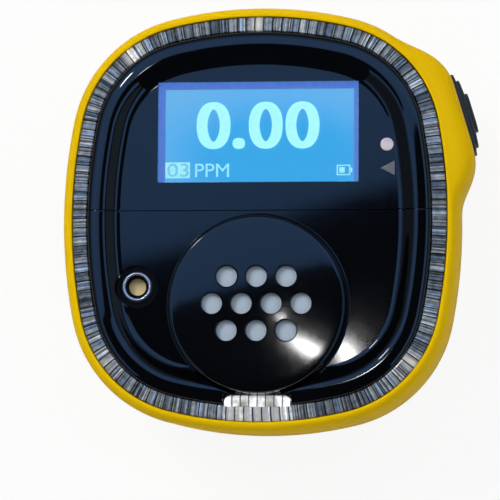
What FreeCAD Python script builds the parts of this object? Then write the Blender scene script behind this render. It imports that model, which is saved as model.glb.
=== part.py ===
import FreeCAD, Part
import math
import os
import Sketcher
from FreeCAD import Placement, Rotation, Vector

# A clip-on gas detector lying on its back: +Z out of the display face, +X right, +Y up the display.
# The origin is on the resting plane under the middle of the case.

os.makedirs("parts", exist_ok=True)
doc = FreeCAD.newDocument("gas_detector")
sheet = doc.addObject("Spreadsheet::Sheet", "dims")
cells = {}
nodes = []

# Front outline, along the outer edge of the light ring. Insets are measured inwards from it.
half_width = 30.15
half_height = 32.55
side_radius = 82.0
end_radius = 60.0
corner_radius = 19.3
shell_outset = 1.75
fit_gap = 0.1
ring_width = 2.4
crest_inset = 4.6
floor_inset = 7.8
ledge_inset = 1.2

# Heights above the resting plane.
case_back = 7.0
case_inside = 9.0
board_low = 11.5
board_top = 13.1
ledge = 24.0
chassis_top = 26.0
gasket_top = 26.5
led_board_top = 26.6
ring_edge = 28.6
dish_floor = 28.6
lip = 29.0
ring_crown = 29.5
rim_edge = 29.6
crest = 30.4
grille_top = 32.2

# Places on the front.
split_y = 1.3
sensor_y = -13.85
display_x = -0.2
display_y = 13.95
window_size = (32.2, 16.1)
flange_size = (35.0, 19.0)
panel_size = (34.0, 18.0)
frame_size = (36.0, 20.0)
lens_place = (20.5, 11.8)
lens_radius = 1.05
arrow_tip = (19.4, 8.0)
arrow_size = (2.35, 1.2)
port_x = -19.6
port_y = -10.9
port_radius = 2.46
port_face_depth = 0.8
grille_foot = 14.7
grille_bore = 13.2
tab_half_width = 5.4
tab_edge_y = -28.3
tab_lamp_y = -29.4

# Side button: its face looks along guard_angle, and guard sizes are along and across that direction.
guard_angle = 16.74
guard_face = 36.0
guard_middle = 7.0
guard_length = 25.8
guard_corner = 8.0
key_middle = 7.6
key_length = 13.35
key_height = 6.9
key_z = 18.0
key_travel = 0.6
key_room_half = 5.6
key_flange_half = 5.0
guard_wall = 1.6

# Fasteners and internals.
post_x = 20.5
post_y = 23.0
post_radius = 2.6
thread_radius = 0.8
screw_head_radius = 2.0
screw_head_height = 1.3
board_posts = [(-23.0, 14.0), (-13.0, -25.5), (13.0, -25.5), (23.0, 2.0)]
clip_screw_y = 14.0
clip_head_radius = 1.9
label_size = (26.0, 7.0)
label_y = -24.0
label_depth = 0.3
battery_size = (34.0, 24.0, 8.0)
cell_radius = 10.15
buzzer_radius = 4.6
motor_x = 20.5
motor_z = 16.8
motor_radius = 3.0

# Clip.
clip_half_width = 8.5
lever_half_width = 7.0
clip_half_length = 18.0
sheet_metal = 1.2
hinge_y = 2.0
hinge_z = 3.5
pin_radius = 1.0
ear_reach = 3.0


def cell(name, value):
    if name not in cells:
        row = len(cells) + 1
        sheet.set(f"A{row}", name)
        sheet.set(f"B{row}", f"{value:.9f}")
        sheet.setAlias(f"B{row}", name)
        cells[name] = value
        sheet.recompute()
    return f"dims.{name}"


def body(name):
    made = doc.addObject("PartDesign::Body", name)
    made.Label = name
    return made


def origin_plane(owner, role):
    return [one for one in owner.Origin.OriginFeatures if one.Role == role][0]


def sketch_on(owner, tag, height, turn=0.0, role="XY_Plane"):
    sketch = owner.newObject("Sketcher::SketchObject", f"{tag}_sketch")
    sketch.AttachmentSupport = [(origin_plane(owner, role), "")]
    sketch.MapMode = "FlatFace"
    sketch.AttachmentOffset = Placement(Vector(0, 0, height), Rotation(Vector(0, 0, 1), turn))
    sketch.setExpression("AttachmentOffset.Base.z", cell(f"{tag}_plane", height))
    return sketch


def dimension(sketch, kind, geometry, name, value):
    index = sketch.addConstraint(Sketcher.Constraint(kind, *geometry, value))
    sketch.renameConstraint(index, name)
    sketch.setExpression(f"Constraints.{name}", cell(name, value))


def place_point(sketch, tag, geometry, point, x, y):
    if abs(x) < 1e-9 and abs(y) < 1e-9:
        sketch.addConstraint(Sketcher.Constraint("Coincident", geometry, point, -1, 1))
        return
    for kind, axis, name, value in (("DistanceX", -2, "across", x), ("DistanceY", -1, "along", y)):
        if abs(value) < 1e-9:
            sketch.addConstraint(Sketcher.Constraint("PointOnObject", geometry, point, axis))
        else:
            dimension(sketch, kind, (-1, 1, geometry, point), f"{tag}_{name}", value)


def corner_centre():
    side = Vector(half_width - side_radius, 0, 0)
    end = Vector(0, half_height - end_radius, 0)
    gap = end - side
    to_side = side_radius - corner_radius
    to_end = end_radius - corner_radius
    along = (to_side ** 2 - to_end ** 2 + gap.Length ** 2) / (2 * gap.Length)
    across = math.sqrt(to_side ** 2 - along ** 2)
    unit = gap / gap.Length
    return side + unit * along + Vector(-unit.y, unit.x, 0) * across


def outline(sketch, tag, inset):
    # Eight tangent arcs: right side, then round by way of each corner.
    corner = corner_centre()
    side_x = half_width - side_radius
    end_y = half_height - end_radius
    side_turn = math.atan2(corner.y, corner.x - side_x)
    end_turn = math.atan2(corner.y - end_y, corner.x)
    turns = [-side_turn, side_turn, end_turn, math.pi - end_turn, math.pi - side_turn]
    turns += [math.pi + side_turn, math.pi + end_turn, -end_turn + 2 * math.pi, -side_turn + 2 * math.pi]
    centres = [(side_x, 0), (corner.x, corner.y), (0, end_y), (-corner.x, corner.y)]
    centres += [(-x, -y) for x, y in centres]
    kinds = ["side_radius", "corner_radius", "end_radius", "corner_radius"] * 2
    radii = {"side_radius": side_radius, "corner_radius": corner_radius, "end_radius": end_radius}
    first = sketch.GeometryCount
    for number in range(8):
        circle_part = Part.Circle(
            Vector(*centres[number], 0), Vector(0, 0, 1), radii[kinds[number]] - inset
        )
        sketch.addGeometry(Part.ArcOfCircle(circle_part, turns[number], turns[number + 1]))
    for number in range(8):
        follower = first + (number + 1) % 8
        sketch.addConstraint(Sketcher.Constraint("Tangent", first + number, 2, follower, 1))
    inset_cell = cell(f"{tag}_inset", inset)
    for number, kind in enumerate(kinds):
        formula = f"{cell(kind, radii[kind])} - {inset_cell}"
        name = f"{tag}_arc_{number}"
        index = sketch.addConstraint(
            Sketcher.Constraint("Radius", first + number, radii[kind] - inset)
        )
        sketch.renameConstraint(index, name)
        sketch.setExpression(f"Constraints.{name}", formula)
    for number in (0, 2, 4, 6):
        place_point(sketch, f"{tag}_centre_{number}", first + number, 3, *centres[number])


def circle(sketch, tag, x, y, radius):
    index = sketch.addGeometry(Part.Circle(Vector(x, y, 0), Vector(0, 0, 1), radius))
    dimension(sketch, "Radius", (index,), f"{tag}_radius", radius)
    place_point(sketch, tag, index, 3, x, y)


def polygon(sketch, tag, points):
    first = sketch.GeometryCount
    count = len(points)
    for number, point in enumerate(points):
        following = points[(number + 1) % count]
        sketch.addGeometry(Part.LineSegment(Vector(*point, 0), Vector(*following, 0)))
    for number in range(count):
        follower = first + (number + 1) % count
        sketch.addConstraint(Sketcher.Constraint("Coincident", first + number, 2, follower, 1))
    for number, point in enumerate(points):
        place_point(sketch, f"{tag}_point_{number}", first + number, 1, *point)


def rectangle(sketch, tag, x, y, width, depth):
    left, right = x - width / 2, x + width / 2
    low, high = y - depth / 2, y + depth / 2
    polygon(sketch, tag, [(left, low), (right, low), (right, high), (left, high)])


def settle(*features):
    for feature in features:
        feature.recompute()
    return features[-1]


def pad(owner, tag, low, high, draw, turn=0.0):
    sketch = sketch_on(owner, tag, low, turn)
    draw(sketch, tag)
    made = owner.newObject("PartDesign::Pad", tag)
    made.Profile = sketch
    made.setExpression("Length", cell(f"{tag}_length", high - low))
    return settle(sketch, made)


def pocket(owner, tag, high, low, draw, turn=0.0):
    sketch = sketch_on(owner, tag, high, turn)
    draw(sketch, tag)
    made = owner.newObject("PartDesign::Pocket", tag)
    made.Profile = sketch
    made.setExpression("Length", cell(f"{tag}_depth", high - low))
    return settle(sketch, made)


def loft(owner, kind, tag, low, low_inset, high, high_inset):
    lower = sketch_on(owner, f"{tag}_lower", low)
    outline(lower, f"{tag}_lower", low_inset)
    upper = sketch_on(owner, f"{tag}_upper", high)
    outline(upper, f"{tag}_upper", high_inset)
    made = owner.newObject(f"PartDesign::{kind}", tag)
    made.Profile = lower
    made.Sections = [upper]
    made.Ruled = True
    return settle(lower, upper, made)


def ring_of(inset):
    return lambda sketch, tag: outline(sketch, tag, inset)


def disc_of(x, y, radius):
    return lambda sketch, tag: circle(sketch, tag, x, y, radius)


def plate_of(x, y, width, depth):
    return lambda sketch, tag: rectangle(sketch, tag, x, y, width, depth)


def discs_of(places, radius):
    def draw(sketch, tag):
        for number, place in enumerate(places):
            circle(sketch, f"{tag}_{number}", *place, radius)

    return draw


def band_of(outer_inset, inner_inset):
    def draw(sketch, tag):
        outline(sketch, f"{tag}_outer", outer_inset)
        outline(sketch, f"{tag}_inner", inner_inset)

    return draw


def fillet(owner, tag, base, edges, radius):
    made = owner.newObject("PartDesign::Fillet", tag)
    made.Base = (base, edges)
    made.setExpression("Radius", cell(f"{tag}_radius", radius))
    return settle(made)


def edges_at(shape, height):
    found = []
    for number, edge in enumerate(shape.Edges):
        box = edge.BoundBox
        if abs(box.ZMin - height) < 1e-4 and abs(box.ZMax - height) < 1e-4:
            found.append(f"Edge{number + 1}")
    return found


def revolve(owner, tag, points):
    # A profile of (radius, height) points turned about the Z axis.
    sketch = sketch_on(owner, tag, 0.0, 0.0, "XZ_Plane")
    polygon(sketch, tag, points)
    made = owner.newObject("PartDesign::Revolution", tag)
    made.Profile = sketch
    made.ReferenceAxis = (sketch, ["V_Axis"])
    made.Angle = 360
    return settle(sketch, made)


def block(name, x, y, width, depth, low, high):
    made = doc.addObject("Part::Box", name)
    made.Label = name
    made.setExpression("Length", cell(f"{name}_width", width))
    made.setExpression("Width", cell(f"{name}_depth", depth))
    made.setExpression("Height", cell(f"{name}_height", high - low))
    made.setExpression("Placement.Base.x", f"{cell(f'{name}_middle_x', x)} - dims.{name}_width / 2")
    made.setExpression("Placement.Base.y", f"{cell(f'{name}_middle_y', y)} - dims.{name}_depth / 2")
    made.setExpression("Placement.Base.z", cell(f"{name}_low", low))
    return made


def rod(name, place, radius, length, direction=Vector(0, 0, 1)):
    made = doc.addObject("Part::Cylinder", name)
    made.Label = name
    made.Placement = Placement(place, Rotation(Vector(0, 0, 1), direction))
    made.setExpression("Radius", cell(f"{name}_radius", radius))
    made.setExpression("Height", cell(f"{name}_length", length))
    for axis in ("x", "y", "z"):
        made.setExpression(f"Placement.Base.{axis}", cell(f"{name}_{axis}_start", getattr(place, axis)))
    return made


def disc(name, x, y, radius, low, high):
    return rod(name, Vector(x, y, low), radius, high - low)


def cut(name, base, tools):
    made = doc.addObject("Part::Cut", name)
    made.Label = name
    made.Base = base
    made.Tool = tools[0] if len(tools) == 1 else join(f"{name}_tools", tools)
    return made


def join(name, pieces):
    made = doc.addObject("Part::MultiFuse", name)
    made.Label = name
    made.Shapes = pieces
    return made


def group(name, pieces):
    made = doc.addObject("Part::Compound", name)
    made.Label = name
    made.Links = pieces
    return made


def node(piece):
    nodes.append(piece)
    return piece


def along_guard(out, across, height):
    turn = math.radians(guard_angle)
    x = out * math.cos(turn) - across * math.sin(turn)
    y = out * math.sin(turn) + across * math.cos(turn)
    return Vector(x, y, height)


def guard_block(name, near, far, across, length, low, high):
    # A box set square to the side button: near and far are distances out along guard_angle.
    made = block(name, 0, 0, far - near, length, low, high)
    start = along_guard(near, across - length / 2, low)
    for axis in ("x", "y"):
        made.setExpression(f"Placement.Base.{axis}", cell(f"{name}_{axis}_start", getattr(start, axis)))
    turn = made.Placement
    turn.Rotation = Rotation(Vector(0, 0, 1), guard_angle)
    made.Placement = turn
    return made


def guard_outline(sketch, tag):
    # The guard lump around the side button, drawn along and across guard_angle.
    near = guard_face - 2 * guard_corner
    low = guard_middle - guard_length / 2
    high = guard_middle + guard_length / 2
    bend = guard_corner
    sketch.addGeometry(Part.LineSegment(Vector(near, low, 0), Vector(guard_face - bend, low, 0)))
    lower = Part.Circle(Vector(guard_face - bend, low + bend, 0), Vector(0, 0, 1), bend)
    sketch.addGeometry(Part.ArcOfCircle(lower, -math.pi / 2, 0))
    sketch.addGeometry(
        Part.LineSegment(Vector(guard_face, low + bend, 0), Vector(guard_face, high - bend, 0))
    )
    upper = Part.Circle(Vector(guard_face - bend, high - bend, 0), Vector(0, 0, 1), bend)
    sketch.addGeometry(Part.ArcOfCircle(upper, 0, math.pi / 2))
    sketch.addGeometry(Part.LineSegment(Vector(guard_face - bend, high, 0), Vector(near, high, 0)))
    sketch.addGeometry(Part.LineSegment(Vector(near, high, 0), Vector(near, low, 0)))
    for number in range(4):
        sketch.addConstraint(Sketcher.Constraint("Tangent", number, 2, number + 1, 1))
    sketch.addConstraint(Sketcher.Constraint("Coincident", 4, 2, 5, 1))
    sketch.addConstraint(Sketcher.Constraint("Coincident", 5, 2, 0, 1))
    sketch.addConstraint(Sketcher.Constraint("Vertical", 2))
    sketch.addConstraint(Sketcher.Constraint("Vertical", 5))
    dimension(sketch, "Radius", (1,), f"{tag}_lower_bend", bend)
    dimension(sketch, "Radius", (3,), f"{tag}_upper_bend", bend)
    place_point(sketch, f"{tag}_lower", 1, 3, guard_face - bend, low + bend)
    dimension(sketch, "DistanceY", (2, 1, 2, 2), f"{tag}_flat", guard_length - 2 * bend)
    dimension(sketch, "DistanceX", (-1, 1, 5, 1), f"{tag}_root", near)


def case_posts():
    return [(x, y) for x in (-post_x, post_x) for y in (-post_y, post_y)]


def rear_shell():
    shell = body("rear_shell")
    case = pad(shell, "case_block", case_back, lip, ring_of(-shell_outset))
    fillet(shell, "case_back_edge", case, edges_at(case.Shape, case_back), 4.0)
    pad(shell, "button_guard", case_back + 4.5, lip - 1.2, guard_outline, guard_angle)
    pocket(shell, "front_seat", lip, ledge, ring_of(0.0))
    pocket(shell, "inside", ledge, case_inside, ring_of(ledge_inset))
    room_near = 24.0
    room_far = guard_face - guard_wall
    room_middle = (room_near + room_far) / 2
    room_length = key_length + 3.4
    pocket(
        shell, "key_room", key_z + key_room_half, key_z - key_room_half,
        plate_of(room_middle, key_middle, room_far - room_near, room_length), guard_angle,
    )
    window_half = key_height / 2 + 0.2
    pocket(
        shell, "key_window", key_z + window_half, key_z - window_half,
        plate_of(guard_face, key_middle, 4.0, key_length + 0.4), guard_angle,
    )
    pad(shell, "board_bosses", case_inside, board_low, discs_of(board_posts, 2.4))
    pocket(shell, "board_threads", board_low, case_inside, discs_of(board_posts, thread_radius))
    pocket(shell, "case_screw_holes", case_inside, case_back, discs_of(case_posts(), 1.1))
    heads = discs_of(case_posts(), screw_head_radius + fit_gap)
    pocket(shell, "case_screw_heads", case_back + screw_head_height, case_back, heads)
    clip_screws = [(0.0, clip_screw_y), (0.0, -clip_screw_y)]
    pocket(shell, "clip_screw_holes", case_inside, case_back, discs_of(clip_screws, 1.0))
    label = plate_of(0, label_y, *label_size)
    pocket(shell, "label_recess", case_back + label_depth, case_back, label)
    return node(shell)


def cover(name, upper):
    made = body(name)
    pad(made, f"{name}_skirt", gasket_top, rim_edge, ring_of(ring_width + fit_gap))
    loft(
        made, "AdditiveLoft", f"{name}_rim", rim_edge, ring_width + fit_gap, crest, crest_inset
    )
    loft(made, "SubtractiveLoft", f"{name}_dish", dish_floor, floor_inset, crest, crest_inset)
    gap = fit_gap / 2
    far = 2 * half_height
    if upper:
        middle = split_y + gap - far / 2
    else:
        middle = split_y - gap + far / 2
    pocket(made, f"{name}_split", crest + 1, gasket_top, plate_of(0, middle, far + 10, far))
    return made


def upper_cover():
    made = cover("upper_cover", True)
    opening = [size + fit_gap for size in window_size]
    pocket(made, "display_opening", crest, gasket_top, plate_of(display_x, display_y, *opening))
    pocket(made, "window_seat", gasket_top + 1.0, gasket_top, plate_of(display_x, display_y, *flange_size))
    pocket(made, "lens_hole", crest, gasket_top, disc_of(*lens_place, lens_radius + 0.05))
    pocket(
        made, "arrow_seat", crest, dish_floor - 0.3,
        lambda sketch, tag: polygon(sketch, tag, arrow_points()),
    )
    return node(made)


def lower_cover():
    made = cover("lower_cover", False)
    pocket(made, "grille_seat", crest + 1, dish_floor, disc_of(0, sensor_y, grille_foot + fit_gap))
    pocket(made, "grille_hole", dish_floor, gasket_top, disc_of(0, sensor_y, grille_bore))
    notch_depth = 6.0
    pocket(
        made, "tab_notch", crest + 1, gasket_top,
        plate_of(0, tab_edge_y + fit_gap - notch_depth / 2, 2 * tab_half_width + 0.2, notch_depth),
    )
    pocket(made, "port_face", crest, dish_floor - port_face_depth, disc_of(port_x, port_y, 3.4))
    pocket(made, "port_hole", dish_floor, gasket_top, disc_of(port_x, port_y, port_radius))
    return node(made)


def light_ring():
    made = body("light_ring")
    outer = fit_gap
    pad(made, "ring_wall", led_board_top, ring_edge, ring_of(outer))
    loft(made, "AdditiveLoft", "ring_slope", ring_edge, outer, ring_crown, ring_width)
    pocket(made, "ring_middle", ring_crown, led_board_top, ring_of(ring_width))
    tab_depth = 2.4
    pad(
        made, "ring_tab", led_board_top, rim_edge,
        plate_of(0, tab_edge_y - tab_depth / 2, 2 * tab_half_width, tab_depth),
    )
    pocket(made, "ring_channel", led_board_top + 1.3, led_board_top, band_of(0.7, 1.9))
    pocket(made, "tab_channel", led_board_top + 1.3, led_board_top, plate_of(0, tab_lamp_y, 7.4, 1.2))
    return node(made)


def outline_point(degrees, inset):
    # Where a line from the middle at this angle crosses the outline at this inset.
    aim = Vector(math.cos(math.radians(degrees)), math.sin(math.radians(degrees)), 0)
    corner = corner_centre()
    arcs = []
    for sign in (1, -1):
        arcs.append((Vector(sign * (half_width - side_radius), 0, 0), side_radius - inset))
        arcs.append((Vector(0, sign * (half_height - end_radius), 0), end_radius - inset))
        for other in (1, -1):
            arcs.append((Vector(sign * corner.x, other * corner.y, 0), corner_radius - inset))
    side_turn = math.atan2(corner.y, corner.x - (half_width - side_radius))
    end_turn = math.atan2(corner.y - (half_height - end_radius), corner.x)
    for centre, radius in arcs:
        along = centre.dot(aim)
        reach = along + math.sqrt(max(radius ** 2 - centre.Length ** 2 + along ** 2, 0))
        point = aim * reach
        normal = point - centre
        lean = math.atan2(abs(normal.y), abs(normal.x))
        is_side = centre.y == 0 and lean <= side_turn + 1e-6
        is_end = centre.x == 0 and lean >= end_turn - 1e-6
        is_corner = centre.x * centre.y != 0 and side_turn <= lean <= end_turn
        faces_out = normal.x * aim.x >= -1e-6 and normal.y * aim.y >= -1e-6
        if faces_out and (is_side or is_end or (is_corner and centre.dot(aim) > 0)):
            return point, math.degrees(math.atan2(normal.y, normal.x))
    raise ValueError(f"no outline point at {degrees}")


def beacon_parts():
    made = body("led_board")
    low = chassis_top
    pad(made, "led_board_band", low, led_board_top, band_of(0.3, ring_width))
    pad(made, "led_board_tongue", low, led_board_top, plate_of(0, -29.6, 8.0, 2.0))
    node(made)
    lamps = []
    length, width, height = 2.2, 0.9, 0.8
    for number, degrees in enumerate((90, 128, 52, 3, 224, 316)):
        point, facing = outline_point(degrees, 1.3)
        lamp = block(f"lamp_{number}", 0, 0, width, length, led_board_top, led_board_top + height)
        turn = Rotation(Vector(0, 0, 1), facing)
        start = point - turn.multVec(Vector(width / 2, length / 2, 0))
        lamp.setExpression("Placement.Base.x", cell(f"lamp_{number}_x", start.x))
        lamp.setExpression("Placement.Base.y", cell(f"lamp_{number}_y", start.y))
        lamp.Placement = Placement(Vector(start.x, start.y, led_board_top), turn)
        lamps.append(lamp)
    for number, x in enumerate((-2.2, 2.2)):
        lamps.append(
            block(
                f"tab_lamp_{number}", x, tab_lamp_y, length, width,
                led_board_top, led_board_top + height,
            )
        )
    node(group("beacon_leds", lamps))


def front_gasket():
    made = body("front_gasket")
    pad(made, "gasket_band", chassis_top, gasket_top, band_of(ring_width + 0.2, crest_inset))
    pocket(
        made, "gasket_gap", gasket_top, chassis_top,
        plate_of(0, -half_height, 2 * tab_half_width + 0.4, 12.0),
    )
    return node(made)


def chassis():
    made = body("chassis")
    pad(made, "chassis_plate", ledge, chassis_top, ring_of(0.3))
    pad(made, "chassis_posts", case_inside, ledge, discs_of(case_posts(), post_radius))
    pocket(made, "post_threads", ledge - 4, case_inside, discs_of(case_posts(), thread_radius))
    pocket(made, "display_bay", chassis_top, ledge, plate_of(display_x, display_y, *frame_size))
    pocket(made, "sensor_bay", chassis_top, ledge, disc_of(0, sensor_y, cell_radius + 0.2))
    pocket(made, "buzzer_bay", chassis_top, ledge, disc_of(port_x, port_y, buzzer_radius))
    return node(made)


def display_parts():
    window_step = gasket_top + 1.0
    made = body("display_window")
    pad(made, "window_flange", gasket_top, window_step, plate_of(display_x, display_y, *flange_size))
    pad(made, "window_pane", window_step, dish_floor - 0.1, plate_of(display_x, display_y, *window_size))
    node(made)
    low = ledge - 1.0
    frame_floor = 0.6
    panel = (display_x, display_y, *panel_size)
    glass_low = low + frame_floor + 1.2
    shell_of_frame = block("frame_block", display_x, display_y, *frame_size, low, chassis_top)
    room = block("frame_room", *panel, low + frame_floor, chassis_top + 1)
    node(cut("lcd_frame", shell_of_frame, [room]))
    node(block("lcd_backlight", *panel, low + frame_floor, glass_low))
    node(block("lcd_glass", *panel, glass_low, chassis_top - 0.1))
    ribbon = 0.2
    run_y = 1.0
    top_run = block("ribbon_top", 0, 3.5, 10.0, 5.2, low - ribbon, low)
    drop = block("ribbon_drop", 0, run_y, 10.0, ribbon, board_top, low)
    foot = block("ribbon_foot", 0, run_y - 1.2, 10.0, 2.6, board_top, board_top + ribbon)
    node(join("flex_cable", [top_run, drop, foot]))
    node(block("status_led", *lens_place, 1.6, 0.9, chassis_top, gasket_top))
    node(disc("status_lens", *lens_place, lens_radius, gasket_top, dish_floor + 0.15))
    marker = body("arrow_marker")
    pad(
        marker, "arrow_prism", dish_floor - 0.3, dish_floor + 0.03,
        lambda sketch, tag: polygon(sketch, tag, arrow_points()),
    )
    node(marker)


def arrow_points():
    back_x = arrow_tip[0] + arrow_size[0]
    half = arrow_size[1]
    return [arrow_tip, (back_x, arrow_tip[1] - half), (back_x, arrow_tip[1] + half)]


def sensor_parts():
    plate_low = grille_top - 1.2
    membrane_low = plate_low - 0.3
    grille = body("sensor_grille")
    profile = [
        (0, plate_low), (12.5, plate_low), (12.5, 27.0), (13.1, 27.0), (13.1, dish_floor),
        (grille_foot, dish_floor), (14.45, 30.0), (14.1, 31.5), (13.6, grille_top), (0, grille_top),
    ]
    revolve(grille, "grille_profile", profile)
    rows = [(-1, 3), (0, 4), (1, 3)]
    holes = []
    for row, count in rows:
        for place in range(count):
            holes.append(((place - (count - 1) / 2) * 4.78, row * 4.33))
    pocket(grille, "grille_holes", grille_top + 1, plate_low - 1, discs_of(holes, 1.7))
    grille.Placement = Placement(Vector(0, sensor_y, 0), Rotation())
    node(grille)
    node(disc("dust_membrane", 0, sensor_y, 12.4, membrane_low, plate_low))
    ring = disc("gasket_disc", 0, sensor_y, 12.0, chassis_top, membrane_low)
    eye = disc("gasket_eye", 0, sensor_y, 8.0, chassis_top - 1, membrane_low + 1)
    node(cut("sensor_gasket", ring, [eye]))
    pins = []
    sockets = []
    cell_low = 15.1
    for number in range(3):
        turn = math.radians(90 + 120 * number)
        x = 6.75 * math.cos(turn)
        y = sensor_y + 6.75 * math.sin(turn)
        pins.append(disc(f"sensor_pin_{number}", x, y, 0.75, board_top + 0.4, cell_low + 0.5))
        tube = disc(f"socket_tube_{number}", x, y, 1.6, board_top, cell_low)
        bore = disc(f"socket_bore_{number}", x, y, 0.85, board_top, cell_low + 1)
        sockets.append(cut(f"socket_{number}", tube, [bore]))
    can = disc("sensor_can", 0, sensor_y, cell_radius, cell_low, chassis_top)
    node(join("sensor_cell", [can] + pins))
    node(group("sensor_sockets", sockets))


def board_parts():
    made = body("main_board")
    pad(made, "board_plate", board_low, board_top, ring_of(1.8))
    pocket(made, "board_screw_holes", board_top, board_low, discs_of(board_posts, 0.9))
    clearance = discs_of(case_posts(), post_radius + 0.3)
    pocket(made, "board_post_holes", board_top, board_low, clearance)
    node(made)
    screws = []
    for number, (x, y) in enumerate(board_posts):
        shank = disc(f"board_shank_{number}", x, y, thread_radius, board_low - 2.2, board_top)
        head = disc(f"board_head_{number}", x, y, 1.6, board_top, board_top + 1.1)
        recess = disc(f"board_drive_{number}", x, y, 0.6, board_top + 0.4, board_top + 2)
        solid = join(f"board_screw_{number}", [shank, head])
        screws.append(cut(f"board_fastener_{number}", solid, [recess]))
    node(group("board_screws", screws))
    node(block("processor_chip", -9.0, 6.0, 8.0, 8.0, board_low - 1.1, board_low))
    node(block("radio_module", -22.5, 1.0, 8.0, 12.0, board_top, board_top + 2.0))
    width, depth, height = battery_size
    pad_top = board_top + 0.9
    node(block("battery_pad", 0, display_y, width - 4, depth - 4, board_top, pad_top))
    node(block("battery_cell", 0, display_y, width, depth, pad_top, pad_top + height))
    tabs = []
    edge = display_y + depth / 2
    for number, x in enumerate((-8.0, 8.0)):
        tabs.append(block(f"contact_{number}", x, edge + 0.15, 4.0, 0.3, board_top, board_top + 5.0))
    node(group("battery_contacts", tabs))


def alarm_parts():
    low = 19.0
    top = gasket_top - 0.1
    can = disc("buzzer_can", port_x, port_y, buzzer_radius, low, top)
    flange = disc("buzzer_flange", port_x, port_y, 5.2, chassis_top, top)
    room = disc("buzzer_room", port_x, port_y, 4.0, low + 0.8, top - 0.5)
    mouth = disc("buzzer_mouth", port_x, port_y, 1.6, low + 0.8, top + 1)
    node(cut("buzzer_housing", join("buzzer_case", [can, flange]), [room, mouth]))
    plate_top = top - 0.5
    node(disc("piezo_plate", port_x, port_y, 4.0, plate_top - 0.3, plate_top))
    node(disc("piezo_ceramic", port_x, port_y, 2.9, plate_top - 0.6, plate_top - 0.3))
    seal_top = 27.0
    seal = disc("seal_disc", port_x, port_y, port_radius, top, seal_top)
    seal_eye = disc("seal_eye", port_x, port_y, 1.7, top - 1, seal_top + 1)
    node(cut("port_seal", seal, [seal_eye]))
    ring = disc("port_disc", port_x, port_y, port_radius, seal_top, dish_floor - 0.5)
    ring_eye = disc("port_eye", port_x, port_y, 1.87, seal_top - 1, dish_floor)
    node(cut("port_ring", ring, [ring_eye]))


def motor_parts():
    along = Vector(0, 1, 0)
    shaft_radius = 0.5
    back_y = -19.0
    front_y = -9.0
    can = rod("motor_can", Vector(motor_x, back_y, motor_z), motor_radius, front_y - back_y, along)
    bore = rod("motor_bore", Vector(motor_x, -14.0, motor_z), shaft_radius + 0.05, 6.0, along)
    node(cut("vibration_motor", can, [bore]))
    node(rod("motor_shaft", Vector(motor_x, -13.8, motor_z), shaft_radius, 8.6, along))
    saddle = block("cradle_block", motor_x, -14.0, 7.2, 8.0, board_top, motor_z - 1.0)
    hollow = rod("cradle_hollow", Vector(motor_x, back_y, motor_z), motor_radius, 11.0, along)
    node(cut("motor_cradle", saddle, [hollow]))
    weight = rod("weight_disc", Vector(motor_x, -8.4, motor_z), 2.8, 3.0, along)
    off = block("weight_cut", motor_x, -6.9, 8.0, 4.0, motor_z + 0.8, motor_z + 4.0)
    eye = rod("weight_eye", Vector(motor_x, -9.4, motor_z), shaft_radius, 5.0, along)
    node(cut("vibration_weight", weight, [off, eye]))


def button_parts():
    inner = guard_face - guard_wall
    flange = guard_block(
        "key_flange", inner - 1.5, inner - 0.5, key_middle, key_length + 1.6,
        key_z - key_flange_half, key_z + key_flange_half,
    )
    steps = [(36.9, 0.0, 0.0), (37.3, 2.2, 1.4), (37.75, 7.0, 2.6)]
    pieces = [flange]
    for number, (far, shorter, lower) in enumerate(steps):
        half = (key_height - lower) / 2
        pieces.append(
            guard_block(
                f"key_step_{number}", inner - 1.0, far, key_middle, key_length - shorter,
                key_z - half, key_z + half,
            )
        )
    out = along_guard(1, 0, 0)
    tip = 30.6
    stem = rod("key_stem", along_guard(tip, key_middle, key_z), 1.5, inner - 1.0 - tip, out)
    node(join("side_button", pieces + [stem]))
    switch_near = 24.6
    switch_far = 28.6
    can = guard_block("switch_can", switch_near, switch_far, key_middle, 6.0, board_top, key_z + 2.2)
    bore_start = along_guard(switch_near + 1.4, key_middle, key_z)
    bore = rod("switch_bore", bore_start, 1.3, 4.0, out)
    node(cut("tact_switch", can, [bore]))
    plunger_start = switch_near + 1.6 + key_travel
    length = tip - 0.3 - plunger_start
    node(rod("switch_plunger", along_guard(plunger_start, key_middle, key_z), 1.2, length, out))


def case_screws():
    screws = []
    head_top = case_back + screw_head_height
    for number, (x, y) in enumerate(case_posts()):
        head = disc(f"case_head_{number}", x, y, screw_head_radius, case_back + fit_gap, head_top)
        shank = disc(f"case_shank_{number}", x, y, thread_radius, head_top, case_back + 10.0)
        drive = disc(f"case_drive_{number}", x, y, 0.9, case_back - 1, case_back + 0.8)
        solid = join(f"case_screw_{number}", [head, shank])
        screws.append(cut(f"case_fastener_{number}", solid, [drive]))
    return node(group("case_screws", screws))


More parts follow.
